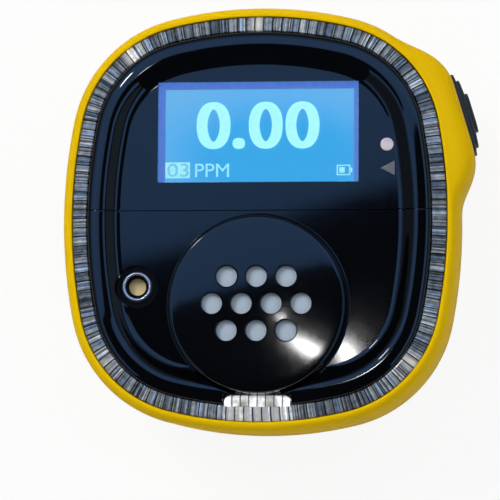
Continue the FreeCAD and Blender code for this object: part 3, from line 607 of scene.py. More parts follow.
def shellSections():
    # (outset, height) from the lip's inner edge, over the top and down to the back.
    lip = front["lipZ"]
    sections = [(0.0, lip - 0.22), (0.07, lip - 0.06), (0.22, lip)]
    reach = shell["outset"] - shell["lipFlat"]
    for step in range(13):
        angle = step / 12 * math.pi / 2
        sections.append((
            shell["lipFlat"] + reach * math.sin(angle), lip - shell["lipDrop"] * (1 - math.cos(angle))))
    top = lip - shell["lipDrop"]
    low = front["backZ"] + shell["backRound"]
    for step in range(1, 21):
        sections.append((shell["outset"], top + (low - top) * step / 21))
    for step in range(13):
        angle = step / 12 * math.pi / 2
        sections.append((
            shell["outset"] - shell["backRound"] * (1 - math.cos(angle)),
            low - shell["backRound"] * math.sin(angle)))
    return sections


def buildShell():
    full = [guardReach(p, n, shell["outset"]) - shell["outset"] for p, n, _ in stations]
    loops = [outlineLoop(0.0, shell["ledgeZ"])]
    for outset, z in shellSections():
        weight = guardWeight(z)
        loops.append([
            (p.x + n.x * (outset + extra * weight), p.y + n.y * (outset + extra * weight), z)
            for (p, n, _), extra in zip(stations, full)])
    for inset in (7.0, 11.0):
        loops.append(outlineLoop(inset, front["backZ"]))
    outer = len(loops)
    inner = [outlineLoop(shell["wall"], shell["ledgeZ"]), outlineLoop(shell["wall"], shell["insideZ"])]
    inner.append(outlineLoop(11.0, shell["insideZ"]))
    count = front["stations"]
    verts = [point for loop in loops + inner for point in loop]
    faces = []

    def skin(first, second, flip):
        for i in range(count):
            j = (i + 1) % count
            quad = (first * count + i, first * count + j, second * count + j, second * count + i)
            faces.append(tuple(reversed(quad)) if flip else quad)

    for row in range(outer - 1):
        skin(row, row + 1, True)
    faces.append(tuple(reversed([(outer - 1) * count + i for i in range(count)])))
    skin(0, outer, False)
    skin(outer, outer + 1, False)
    skin(outer + 1, outer + 2, False)
    faces.append(tuple((outer + 2) * count + i for i in range(count)))
    made = newObject("yellowShell", verts, faces, yellowPlastic, False)
    faceOut(made)
    keyMiddle, keyZ = 7.6, 18.0
    window = roundedLoop(6.95, 3.75, 1.6, 10)
    cutters = [loopsToMesh("windowCut", [
        [keySpace(out, keyMiddle + a, keyZ + h) for a, h in window] for out in (33.0, 40.0)], None)]
    room = roundedLoop(8.4, 5.6, 0.8, 4)
    cutters.append(loopsToMesh("roomCut", [
        [keySpace(out, keyMiddle + a, keyZ + h) for a, h in room] for out in (22.0, 34.4)], None))
    back = front["backZ"]
    for x in (-20.5, 20.5):
        for y in (-23.0, 23.0):
            cutters.append(rodMesh("headCut", (x, y), 2.1, back - 1, back + 1.3))
    cutters.append(roundedPlate("labelCut", (0, -24.0), (13.1, 3.6), 0.8, back - 1, back + 0.32, None))
    cutWith(made, cutters)
    softEdges(made, 0.22, 3, 50, 50)
    made.data.materials.clear()
    made.data.materials.append(yellowPlastic)
    place(made, "case", "rear_shell", slot="yellow_shell")


buildShell()
print("shell made")


# Dished front in two covers

dish = {
    "edgeInset": 2.5, "edgeZ": 29.30, "crestInset": 4.6, "floorInset": 7.8,
    "gap": 0.06, "edgeRound": 0.12,
}


def dishSections():
    sections = [(dish["edgeInset"], front["skirtZ"])]
    crest, edge = front["crestZ"], dish["edgeZ"]
    for step in range(13):
        angle = step / 12 * math.pi / 2
        inset = dish["crestInset"] - (dish["crestInset"] - dish["edgeInset"]) * math.cos(angle)
        sections.append((inset, edge + (crest - edge) * math.sin(angle)))
    for step in range(1, 23):
        share = step / 22
        inset = dish["crestInset"] + (dish["floorInset"] - dish["crestInset"]) * share
        sections.append((inset, front["floorZ"] + (crest - front["floorZ"]) * 0.5 * (1 + math.cos(math.pi * share))))
    return sections


def halfDish(name, keepTop):
    made = loopsToMesh(name, [outlineLoop(inset, z) for inset, z in dishSections()], glossBlack, smooth=False)
    side = 1 if keepTop else -1
    work = bmesh.new()
    work.from_mesh(made.data)
    found = bmesh.ops.bisect_plane(
        work, geom=work.verts[:] + work.edges[:] + work.faces[:],
        plane_co=(0, (front["splitY"] + side * dish["gap"]) * mm, 0), plane_no=(0, side, 0), clear_inner=True)
    edges = [one for one in found["geom_cut"] if isinstance(one, bmesh.types.BMEdge)]
    bmesh.ops.contextual_create(work, geom=edges)
    bmesh.ops.recalc_face_normals(work, faces=work.faces)
    work.to_mesh(made.data)
    work.free()
    return made


def arrowPoints(grow=0.0):
    middle = (arrowLow.y + arrowHigh.y) / 2
    back, half = arrowHigh.x + grow, (arrowHigh.y - arrowLow.y) / 2 + 1.3 * grow
    return [(arrowLow.x - 2 * grow, middle), (back, middle - half), (back, middle + half)]


def buildUpperCover():
    made = halfDish("upperCover", True)
    floor = front["floorZ"]
    spot, skirt = (paneMiddle.x, paneMiddle.y), front["skirtZ"]
    cutters = [
        roundedPlate("openingCut", spot, (16.15, 8.1), 0.12, skirt - 1, 31.5, None, 3),
        roundedPlate("seatCut", spot, (17.55, 9.55), 0.3, skirt - 1, skirt + 1.02, None, 3),
        rodMesh("lensCut", (lensMiddle.x, lensMiddle.y), 1.12, skirt - 1, 31.5),
        loopsToMesh("arrowCut", [[(x, y, z) for x, y in arrowPoints(0.04)] for z in (floor - 0.3, 31.5)], None)]
    cutWith(made, cutters)
    softEdges(made, dish["edgeRound"], 2, 45)
    place(made, "case", "upper_cover", slot="black_front")


def buildLowerCover():
    made = halfDish("lowerCover", False)
    floor, skirt = front["floorZ"], front["skirtZ"]
    cutters = [
        rodMesh("seatCut", (discMiddle.x, discMiddle.y), 14.82, floor, 33.0, 180),
        rodMesh("holeCut", (discMiddle.x, discMiddle.y), 13.2, skirt - 1, floor + 1, 96),
        roundedPlate("tabCut", (0, -31.2), (5.5, 3.0), 0.1, skirt - 1, 33.0, None, 2),
        rodMesh("portFaceCut", (-19.6, -10.9), 3.4, floor - 0.8, 33.0, 96),
        rodMesh("portCut", (-19.6, -10.9), 2.48, skirt - 1, floor, 64)]
    cutWith(made, cutters)
    softEdges(made, dish["edgeRound"], 2, 45)
    place(made, "case", "lower_cover", slot="black_front")


buildUpperCover()
buildLowerCover()
print("covers made")


# Geometry Nodes helpers

def newTree(name, inputs):
    tree = bpy.data.node_groups.new(name, "GeometryNodeTree")
    tree.interface.new_socket("Geometry", in_out="INPUT", socket_type="NodeSocketGeometry")
    for label, kind, value in inputs:
        socket = tree.interface.new_socket(label, in_out="INPUT", socket_type=kind)
        if value is not None:
            socket.default_value = value
    tree.interface.new_socket("Geometry", in_out="OUTPUT", socket_type="NodeSocketGeometry")
    return tree, tree.nodes.new("NodeGroupInput"), tree.nodes.new("NodeGroupOutput")


def treeNode(tree, kind, settings=None, values=None, links=None):
    made = tree.nodes.new(kind)
    for key, value in (settings or {}).items():
        setattr(made, key, value)
    for key, value in (values or {}).items():
        made.inputs[key].default_value = value
    for key, source in (links or {}).items():
        tree.links.new(source, made.inputs[key])
    return made


def finishTree(tree, source, given):
    # Every tree ends the same way: real geometry with its finish.
    real = treeNode(tree, "GeometryNodeRealizeInstances", links={0: source})
    painted = treeNode(tree, "GeometryNodeSetMaterial", links={"Geometry": real.outputs[0], "Material": given.outputs["Finish"]})
    output = [node for node in tree.nodes if node.bl_idname == "NodeGroupOutput"][0]
    tree.links.new(painted.outputs[0], output.inputs[0])


def runTree(obj, tree, values):
    modifier = obj.modifiers.new("shape", "NODES")
    modifier.node_group = tree
    for item in tree.interface.items_tree:
        if item.item_type == "SOCKET" and item.in_out == "INPUT" and item.name in values:
            modifier[item.identifier] = values[item.name]
    return settle(obj)


# Light ring: a clear band whose top is cut into radial prisms

ring = {
    "outerInset": 0.12, "innerInset": 2.38, "lowZ": ringLow.z, "outerZ": 28.72, "innerZ": 29.5,
    "prismFrom": 0.22, "prismTo": 2.2, "prisms": 142, "depth": 0.30, "perPrism": 8,
    "lampGlowRadius": 1.5, "lamps": ((-0.4, 31.3), (-21.0, 26.6), (19.9, 24.8), (-23.4, -22.4), (23.9, -22.9)),
    "tabGlowHalf": 5.5,
}


def grooveTree():
    tree, given, _ = newTree("grooveTree", [
        ("Depth", "NodeSocketFloat", 0.0004), ("Finish", "NodeSocketMaterial", None)])
    cells = treeNode(tree, "GeometryNodeInputNamedAttribute", {"data_type": "FLOAT"}, {"Name": "cells"})
    amount = treeNode(tree, "GeometryNodeInputNamedAttribute", {"data_type": "FLOAT"}, {"Name": "groove"})
    half = treeNode(tree, "ShaderNodeMath", {"operation": "MULTIPLY"}, {1: math.pi}, {0: cells.outputs["Attribute"]})
    wave = treeNode(tree, "ShaderNodeMath", {"operation": "SINE"}, links={0: half.outputs[0]})
    hump = treeNode(tree, "ShaderNodeMath", {"operation": "ABSOLUTE"}, links={0: wave.outputs[0]})
    valley = treeNode(tree, "ShaderNodeMath", {"operation": "SUBTRACT"}, {1: 1.0}, {0: hump.outputs[0]})
    depth = treeNode(tree, "ShaderNodeMath", {"operation": "MULTIPLY"},
                     links={0: valley.outputs[0], 1: given.outputs["Depth"]})
    drop = treeNode(tree, "ShaderNodeMath", {"operation": "MULTIPLY"},
                    links={0: depth.outputs[0], 1: amount.outputs["Attribute"]})
    down = treeNode(tree, "ShaderNodeMath", {"operation": "MULTIPLY"}, {1: -1.0}, {0: drop.outputs[0]})
    shift = treeNode(tree, "ShaderNodeCombineXYZ", links={"Z": down.outputs[0]})
    moved = treeNode(tree, "GeometryNodeSetPosition", links={
        "Geometry": given.outputs["Geometry"], "Offset": shift.outputs[0]})
    finishTree(tree, moved.outputs[0], given)
    return tree


def writeAttribute(obj, name, values):
    attribute = obj.data.attributes.new(name, "FLOAT", "POINT")
    attribute.data.foreach_set("value", values)


def buildRing(tree):
    dense = outlineStations(ring["prisms"] * ring["perPrism"])
    inner, outer = ring["innerInset"], ring["outerInset"]
    sections = [(outer, ring["lowZ"], 0), (outer, ring["outerZ"] - 0.1, 0), (outer + 0.08, ring["outerZ"], 0.3)]
    for step in range(9):
        share = step / 8
        inset = ring["prismFrom"] + (ring["prismTo"] - ring["prismFrom"]) * share
        rise = ring["outerZ"] + (ring["innerZ"] - 0.05 - ring["outerZ"]) * share
        sections.append((inset, rise, min(1.0, 10 * share, 10 * (1 - share))))
    sections += [(inner - 0.12, ring["innerZ"] - 0.01, 0), (inner - 0.06, ring["innerZ"] - 0.03, 0)]
    sections += [(inner, ring["innerZ"] - 0.12, 0), (inner, ring["lowZ"], 0)]
    sections += [(1.95, ring["lowZ"], 0), (1.95, ring["lowZ"] + 1.3, 0), (0.65, ring["lowZ"] + 1.3, 0)]
    sections += [(0.65, ring["lowZ"], 0)]
    loops = [[(p.x - n.x * i, p.y - n.y * i, z) for p, n, _ in dense] for i, z, _ in sections]
    made = loopsToMesh("lightRing", loops, ringClear, closed=True)
    # Doubles aren't merged away here, so the attributes keep the loops' order.
    cells = [step / ring["perPrism"] + ring["prisms"] for step in range(len(dense))]
    # Painted glow: prisms near each lamp beneath, and along the section under the tab, are lit towards a warm white.
    glows = []
    for p, n, _ in dense:
        middle = p - n * 1.2
        near = min((middle - Vector(lamp)).length for lamp in ring["lamps"])
        tabGlow = 0.75 if middle.y < -25 and abs(middle.x) < ring["tabGlowHalf"] else 0.0
        glows.append(max(tabGlow, 0.85 * math.exp(-(near / ring["lampGlowRadius"]) ** 2)))
    writeAttribute(made, "cells", cells * len(sections))
    writeAttribute(made, "glow", glows * len(sections))
    writeAttribute(made, "groove", [g for _, _, g in sections for _ in dense])
    runTree(made, tree, {"Depth": ring["depth"] * mm, "Finish": ringClear})
    smoothEdges(made, 24)
    place(made, "case", "light_ring", slot="clear_ring")


tab = {"halfWidth": 5.35, "innerY": -28.35, "outerY": -30.08, "topZ": 29.55, "pitch": 1.34, "depth": 0.30, "round": 1.1,
       "lampX": 2.3}


def buildTab(tree):
    columns = 8 * 8 + 1
    loops = []
    depth = tab["innerY"] - tab["outerY"]
    for column in range(columns):
        x = -tab["halfWidth"] + 2 * tab["halfWidth"] * column / (columns - 1)
        edge = max(0.0, abs(x) - (tab["halfWidth"] - tab["round"]))
        cutback = tab["round"] - math.sqrt(max(tab["round"] ** 2 - edge ** 2, 0))
        high = tab["innerY"] - cutback
        loop = []
        for y, z in ((tab["outerY"], ring["lowZ"]), (tab["outerY"], tab["topZ"] - 0.08),
                     (tab["outerY"] + 0.3 * depth, tab["topZ"]), (high - 0.35, tab["topZ"]),
                     (high - 0.1, tab["topZ"] - 0.06), (high, tab["topZ"] - 0.25), (high, ring["lowZ"])):
            loop.append((x, y, z))
        loops.append(loop)
    made = loopsToMesh("ringTab", loops, tabClear)
    # In the tab, glow marks the two lamp spots, drawn in the lamps' darker tint; elsewhere the tab's emission paints it
    # glowing, as if lit from within.
    cells, humps, glows = [], [], []
    for vertex in made.data.vertices:
        near = math.hypot((abs(vertex.co.x / mm) - tab["lampX"]) / 1.1, (vertex.co.y / mm - tab["outerY"]) / 1.3)
        glows.append(0.8 * math.exp(-near ** 4))
        cells.append(vertex.co.x / (tab["pitch"] * mm) + 100)
        onTop = vertex.co.z > (tab["topZ"] - 0.1) * mm
        humps.append(1.0 if onTop and vertex.co.y < (tab["innerY"] - 0.3) * mm else 0.0)
    writeAttribute(made, "cells", cells)
    writeAttribute(made, "glow", glows)
    writeAttribute(made, "groove", humps)
    runTree(made, tree, {"Depth": tab["depth"] * mm, "Finish": tabClear})
    smoothEdges(made, 24)
    place(made, "case", "light_ring", slot="clear_ring")


grooves = grooveTree()
buildRing(grooves)
buildTab(grooves)
print("light ring made")


# Sensor grille: a raised domed disc with rows of holes

grille = {
    "centre": (discMiddle.x, discMiddle.y), "foot": 14.7, "face": 13.45, "top": grilleHigh.z, "dome": 0.32,
    "plate": 1.2, "holeRadius": 1.66, "sink": 0.22, "pitchX": 4.75, "pitchY": 4.3, "count": 220,
}


def grilleSections():
    top, foot = grille["top"] - grille["dome"], front["floorZ"]
    profile = [(13.1, 27.0), (13.1, foot), (grille["foot"], foot), (grille["foot"], foot + 0.15)]
    for step in range(1, 8):  # hollow flare at the foot
        angle = step / 7 * math.pi / 2
        profile.append((grille["foot"] - 0.35 * math.sin(angle), foot + 0.15 + 0.9 * (1 - math.cos(angle))))
    for step in range(11):  # round shoulder
        angle = step / 10 * math.pi / 2
        profile.append((grille["face"] + 0.75 * math.cos(angle), top - 0.75 + 0.75 * math.sin(angle)))
    for step in range(1, 13):
        share = 1 - step / 12.0
        radius = grille["face"] * share
        if radius > 0.5:
            profile.append((radius, grille["top"] - grille["dome"] * (radius / grille["face"]) ** 2))
    profile.append((0.4, grille["top"]))
    return profile


def perforateTree():
    tree, given, _ = newTree("perforateTree", [
        ("Radius", "NodeSocketFloat", 0.0017), ("Sink", "NodeSocketFloat", 0.0002),
        ("Pitch X", "NodeSocketFloat", 0.0048), ("Pitch Y", "NodeSocketFloat", 0.0043),
        ("Middle", "NodeSocketVector", None), ("Fall", "NodeSocketFloat", 1.0),
        ("Finish", "NodeSocketMaterial", None)])

    def maths(operation, first, second):
        node = treeNode(tree, "ShaderNodeMath", {"operation": operation})
        for slot, value in enumerate((first, second)):
            if isinstance(value, float):
                node.inputs[slot].default_value = value
            else:
                tree.links.new(value, node.inputs[slot])
        return node.outputs[0]

    rows = treeNode(tree, "GeometryNodeJoinGeometry")
    for row, count in ((-1, 3), (0, 4), (1, 3)):
        start = treeNode(tree, "ShaderNodeCombineXYZ", links={
            "X": maths("MULTIPLY", given.outputs["Pitch X"], -(count - 1) / 2),
            "Y": maths("MULTIPLY", given.outputs["Pitch Y"], float(row))})
        step = treeNode(tree, "ShaderNodeCombineXYZ", links={"X": given.outputs["Pitch X"]})
        line = treeNode(tree, "GeometryNodeMeshLine", {"mode": "OFFSET"}, {"Count": count},
                        {"Start Location": start.outputs[0], "Offset": step.outputs[0]})
        tree.links.new(line.outputs[0], rows.inputs[0])
    # Each drill sits as low as the dome does at its own distance from the middle.
    spot = treeNode(tree, "GeometryNodeInputPosition")
    away = treeNode(tree, "ShaderNodeVectorMath", {"operation": "DOT_PRODUCT"},
                    links={0: spot.outputs[0], 1: spot.outputs[0]})
    drop = maths("MULTIPLY", maths("MULTIPLY", away.outputs["Value"], given.outputs["Fall"]), -1.0)
    lowered = treeNode(tree, "GeometryNodeSetPosition", links={
        "Geometry": rows.outputs[0],
        "Offset": treeNode(tree, "ShaderNodeCombineXYZ", links={"Z": drop}).outputs[0]})
    moved = treeNode(tree, "GeometryNodeTransform", links={
        "Geometry": lowered.outputs[0], "Translation": given.outputs["Middle"]})
    drill = treeNode(tree, "GeometryNodeMeshCylinder", {"fill_type": "NGON"},
                     {"Vertices": 48, "Depth": 0.006}, {"Radius": given.outputs["Radius"]})
    wide = maths("ADD", given.outputs["Radius"], given.outputs["Sink"])
    cone = treeNode(tree, "GeometryNodeMeshCone", {"fill_type": "NGON"}, {"Vertices": 48, "Radius Bottom": 0.0},
                    {"Radius Top": maths("MULTIPLY", wide, 2.0), "Depth": maths("MULTIPLY", wide, 2.0)})
    sunk = treeNode(tree, "GeometryNodeTransform", links={
        "Geometry": cone.outputs[0],
        "Translation": treeNode(tree, "ShaderNodeCombineXYZ", links={"Z": maths("MULTIPLY", wide, -1.0)}).outputs[0]})
    shape = given.outputs["Geometry"]
    for tool in (drill, sunk):
        tools = treeNode(tree, "GeometryNodeInstanceOnPoints", links={
            "Points": moved.outputs[0], "Instance": tool.outputs[0]})
        solid = treeNode(tree, "GeometryNodeRealizeInstances", links={0: tools.outputs[0]})
        cut = treeNode(tree, "GeometryNodeMeshBoolean", {"operation": "DIFFERENCE", "solver": "EXACT"},
                       links={"Mesh 1": shape, "Mesh 2": solid.outputs[0]})
        shape = cut.outputs[0]
    finishTree(tree, shape, given)
    return tree


def buildGrille():
    under = grille["top"] - grille["plate"]
    profile = [(12.5, under), (12.5, 27.0)] + grilleSections()
    made = turned("sensorGrille", grille["centre"], profile, grille["count"], grilleBlack)
    centre = Vector((*grille["centre"], grille["top"])) * mm
    runTree(made, perforateTree(), {
        "Radius": grille["holeRadius"] * mm, "Sink": grille["sink"] * mm, "Pitch X": grille["pitchX"] * mm,
        "Pitch Y": grille["pitchY"] * mm, "Middle": centre,
        "Fall": grille["dome"] / mm / grille["face"] ** 2, "Finish": grilleBlack})
    smoothEdges(made, 30)
    evenShade(made)
    place(made, "case", "sensor_grille", slot="black_front")


buildGrille()
print("grille made")


# Display: window, border, figures

readout = {
    "digitTop": 19.1, "digitLow": 11.45, "zeroWidth": 5.5, "zeros": (-7.6, 0.85, 6.78), "dotX": -3.5,
    "thick": 0.06, "z": lcdHigh.z + 0.01,
}


def buildWindow():
    half = (16.08, 8.03)
    step = windowLow.z + 1.0
    top = windowHigh.z
    loops = []
    for halfX, halfY, height in (
            (17.45, 9.45, windowLow.z), (17.45, 9.45, step), (half[0], half[1], step),
            (half[0], half[1], top - 0.05), (half[0] - 0.05, half[1] - 0.05, top)):
        loops.append([
            (paneMiddle.x + x, paneMiddle.y + y, height) for x, y in roundedLoop(halfX, halfY, 0.12, 3)])
    made = loopsToMesh("displayPane", loops, paneClear)
    place(made, "case", "display_window", slot="window")


def flatShape(name, outline, holes, z, thick, material):
    # A thin plate with an outline and matching inner outline, if any.
    if holes:
        loops = [[(x, y, z) for x, y in outline], [(x, y, z + thick) for x, y in outline],
                 [(x, y, z + thick) for x, y in holes], [(x, y, z) for x, y in holes]]
        return loopsToMesh(name, loops, material, closed=True)
    loops = [[(x, y, height) for x, y in outline] for height in (z, z + thick)]
    return loopsToMesh(name, loops, material)


def superLoop(cx, cy, halfX, halfY, power, count=64):
    points = []
    for step in range(count):
        angle = 2 * math.pi * step / count
        c, s = math.cos(angle), math.sin(angle)
        points.append((cx + halfX * math.copysign(abs(c) ** (2 / power), c),
                       cy + halfY * math.copysign(abs(s) ** (2 / power), s)))
    return points


def rectLoop(left, right, low, high):
    return [(left, low), (right, low), (right, high), (left, high)]


def wordMesh(name, text, height, left, low, z, material, stretch=1.0):
    curve = bpy.data.curves.new(name, "FONT")
    curve.body = text
    curve.size = 1.0
    holder = bpy.data.objects.new(name, curve)
    scene.collection.objects.link(holder)
    bpy.context.view_layer.update()
    graph = bpy.context.evaluated_depsgraph_get()
    mesh = bpy.data.meshes.new_from_object(holder.evaluated_get(graph))
    bpy.data.objects.remove(holder)
    xs = [v.co.x for v in mesh.vertices]
    ys = [v.co.y for v in mesh.vertices]
    scale = height / (max(ys) - min(ys))
    for vertex in mesh.vertices:
        vertex.co = Vector((
            (left + (vertex.co.x - min(xs)) * scale * stretch) * mm,
            (low + (vertex.co.y - min(ys)) * scale) * mm, z * mm))
    work = bmesh.new()
    work.from_mesh(mesh)
    bmesh.ops.remove_doubles(work, verts=work.verts, dist=1e-7)
    raised = bmesh.ops.extrude_face_region(work, geom=work.faces[:])
    for item in raised["geom"]:
        if isinstance(item, bmesh.types.BMVert):
            item.co.z += readout["thick"] * mm
    bmesh.ops.recalc_face_normals(work, faces=work.faces)
    work.to_mesh(mesh)
    work.free()
    made = bpy.data.objects.new(name, mesh)
    scene.collection.objects.link(made)
    mesh.materials.clear()
    mesh.materials.append(material)
    return made


def joinPieces(name, pieces):
    graph = bpy.context.evaluated_depsgraph_get()
    work = bmesh.new()
    for piece in pieces:
        work.from_mesh(piece.evaluated_get(graph).data)
    mesh = bpy.data.meshes.new(name)
    work.to_mesh(mesh)
    work.free()
    for material in pieces[0].data.materials:
        mesh.materials.append(material)
    for piece in pieces:
        bpy.data.objects.remove(piece)
    made = bpy.data.objects.new(name, mesh)
    scene.collection.objects.link(made)
    return made


def buildReadout():
    z, thick = readout["z"], readout["thick"]
    low, top = readout["digitLow"], readout["digitTop"]
    middle, half = (low + top) / 2, (top - low) / 2
    digits = []
    for x in readout["zeros"]:
        outer = superLoop(x, middle, readout["zeroWidth"] / 2, half, 2.3)
        inner = superLoop(x, middle, readout["zeroWidth"] / 2 - 1.75, half - 1.2, 1.75)
        digits.append(flatShape("zero", outer, inner, z, thick, digitGlow))
    digits.append(flatShape("point", superLoop(readout["dotX"], low + 0.9, 1.02, 0.9, 2.4, 32), None, z, thick, digitGlow))
    place(joinPieces("readoutDigits", digits), "case", slot="lcd")
    border = flatShape("readoutBorder", rectLoop(-17.0, 17.0, 5.0, 23.0), rectLoop(-15.4, 15.05, 5.7, 21.1),
                       z - 0.005, 0.02, frameGlow)
    place(border, "case", slot="lcd")
    plate = flatShape("unitPlate", rectLoop(-15.4, -11.4, 6.75, 9.35), None, z, thick, smallGlow)
    place(plate, "case", slot="lcd")
    number = wordMesh("channelNumber", "03", 2.1, -15.05, 7.0, z + thick + 0.01, plateInk, 1.3)
    place(number, "case", slot="lcd")
    unit = wordMesh("unitWord", "PPM", 2.15, -10.55, 6.95, z, smallGlow, 1.05)
    place(unit, "case", slot="lcd")
    battery = [
        flatShape("batteryCase", rectLoop(12.3, 14.5, 7.1, 8.8), rectLoop(12.5, 14.3, 7.3, 8.6), z, thick, smallGlow),
        flatShape("batteryTip", rectLoop(14.55, 14.8, 7.6, 8.3), None, z, thick, smallGlow),
        flatShape("batteryFill", rectLoop(12.7, 13.6, 7.5, 8.4), None, z, thick, smallGlow)]
    place(joinPieces("batteryIcon", battery), "case", slot="lcd")


port = {"spot": (-19.6, -10.9), "seat": 2.46, "bore": 1.86, "eye": 1.36, "lipDrop": 0.22}


def buildFrontTrim():
    floor = front["floorZ"]
    loops = [[(x, y, z) for x, y in arrowPoints(-0.03 if z > floor else 0)] for z in (floor - 0.29, floor - 0.02, floor + 0.02)]
    place(loopsToMesh("arrowMark", loops, markerGrey), "case", "arrow_marker", slot="marker")
    dome = [(1.04, front["skirtZ"]), (1.04, floor + 0.02)]
    for step in range(1, 9):
        angle = step / 8 * math.pi / 2
        dome.append((max(1.04 * math.cos(angle), 0.02), floor + 0.02 + 0.12 * math.sin(angle)))
    place(turned("statusLens", (lensMiddle.x, lensMiddle.y), dome, 48, lensClear), "case", "status_lens", slot="clear_ring")
    spot = port["spot"]
    # A thin matte black ring laid on the well floor: painted shade for the well that its walls shade.
    wellShade = [(port["seat"], floor - 0.80), (3.36, floor - 0.80), (3.36, floor - 0.76), (port["seat"], floor - 0.76)]
    place(turned("portWellShade", spot, wellShade, 96, wellBlack, closed=True), "case", slot="marker")
    lip = floor - port["lipDrop"]
    sleeve = [(port["bore"], 27.0), (port["seat"] - 0.02, 27.0), (port["seat"] - 0.02, floor - 0.78)]
    for step in range(1, 9):  # leaning outer face, then a rounded lip
        angle = step / 8 * math.pi
        sleeve.append((2.10 + 0.24 * math.cos(angle), lip - 0.20 + 0.20 * math.sin(angle)))
    sleeve.append((port["bore"], lip - 0.4))
    place(turned("portRing", spot, sleeve, 96, polishedRing, closed=True), "case", "port_ring", slot="chrome")
    choke = [(port["eye"], 27.35), (port["bore"] - 0.02, 27.35), (port["bore"] - 0.02, 27.75), (port["eye"] + 0.15, 27.6)]
    place(turned("portChoke", spot, choke, 64, wellBlack, closed=True), "case", slot="marker")


buildWindow()
buildReadout()
buildFrontTrim()
print("display made")


# Side key

key = {
    "middle": 7.6, "z": 18.0, "arch": 0.45,
    "steps": [(35.0, 6.66, 3.44), (36.75, 6.66, 3.44), (37.25, 5.55, 2.75), (37.74, 3.2, 2.1)],
}


def buildKey():
    flange = roundedLoop(7.45, 5.0, 1.2, 6)
    base = roundedLoop(key["steps"][0][1], key["steps"][0][2], 1.5, 6)
    loops = [[keySpace(32.9, key["middle"] + a, key["z"] + h) for a, h in flange]]
    loops.append([keySpace(33.9, key["middle"] + a, key["z"] + h) for a, h in flange])
    loops.append([keySpace(33.9, key["middle"] + a, key["z"] + h) for a, h in base])

    def level(out, halfA, halfH, bend):
        points = []
        for a, h in roundedLoop(halfA, halfH, bend, 6):
            points.append(keySpace(out - key["arch"] * (a / 6.7) ** 2, key["middle"] + a, key["z"] + h))
        loops.append(points)

    previous = 35.0
    for out, halfA, halfH in key["steps"][1:]:
        level(previous + 0.04, halfA + 0.0, halfH, 1.2)
        level(out - 0.16, halfA, halfH, 1.2)
        level(out - 0.05, halfA - 0.06, halfH - 0.06, 1.15)
        level(out, halfA - 0.18, halfH - 0.18, 1.1)
        previous = out
    made = loopsToMesh("sideKey", loops, keyRubber)
    stem = loopsToMesh("keyStem", [
        [keySpace(out, key["middle"] + 1.5 * math.cos(t), key["z"] + 1.5 * math.sin(t))
         for t in [2 * math.pi * i / 32 for i in range(32)]] for out in (30.6, 33.0)], keyRubber)
    made = joinPieces("sideKey", [made, stem])
    smoothEdges(made, 50)
    place(made, "key", "side_button", slot="rubber")


buildKey()
print("key made")


# Back clip

clip = {
    "sheet": 1.2, "grooves": 6, "groovePitch": 1.5, "grooveStart": 10.4, "grooveRadius": 0.42,
    "teeth": 6, "toothPitch": 1.5, "toothStart": -15.2, "toothRadius": 0.32, "toothSink": 0.12, "hinge": (2.0, 3.5),
}


def barTree(cuts):
    # A row of round bars, cut into the piece or laid half sunk on it.
    tree, given, _ = newTree("grooveBars" if cuts else "raisedBars", [
        ("Count", "NodeSocketInt", 5), ("Start", "NodeSocketVector", None), ("Step", "NodeSocketVector", None),
        ("Length", "NodeSocketFloat", 0.01), ("Radius", "NodeSocketFloat", 0.0004),
        ("Turn", "NodeSocketVector", None), ("Finish", "NodeSocketMaterial", None)])
    line = treeNode(tree, "GeometryNodeMeshLine", {"mode": "OFFSET"}, links={
        "Count": given.outputs["Count"], "Start Location": given.outputs["Start"], "Offset": given.outputs["Step"]})
    bar = treeNode(tree, "GeometryNodeMeshCylinder", {"fill_type": "NGON"}, {"Vertices": 20}, {
        "Radius": given.outputs["Radius"], "Depth": given.outputs["Length"]})
    bars = treeNode(tree, "GeometryNodeInstanceOnPoints", links={
        "Points": line.outputs[0], "Instance": bar.outputs[0], "Rotation": given.outputs["Turn"]})
    if not cuts:
        finishTree(tree, bars.outputs[0], given)
        return tree
    solid = treeNode(tree, "GeometryNodeRealizeInstances", links={0: bars.outputs[0]})
    cut = treeNode(tree, "GeometryNodeMeshBoolean", {"operation": "DIFFERENCE", "solver": "EXACT"},
                   links={"Mesh 1": given.outputs["Geometry"], "Mesh 2": solid.outputs[0]})
    finishTree(tree, cut.outputs[0], given)
    return tree


def formedSheet(name, outline, low, high, material, bend=0.25):
    loops = [[(x, y, low + bend) for x, y in outline(0)], [(x, y, high - bend) for x, y in outline(0)],
             [(x, y, high) for x, y in outline(bend)]]
    loops.insert(0, [(x, y, low) for x, y in outline(bend)])
    return loopsToMesh(name, loops, material)


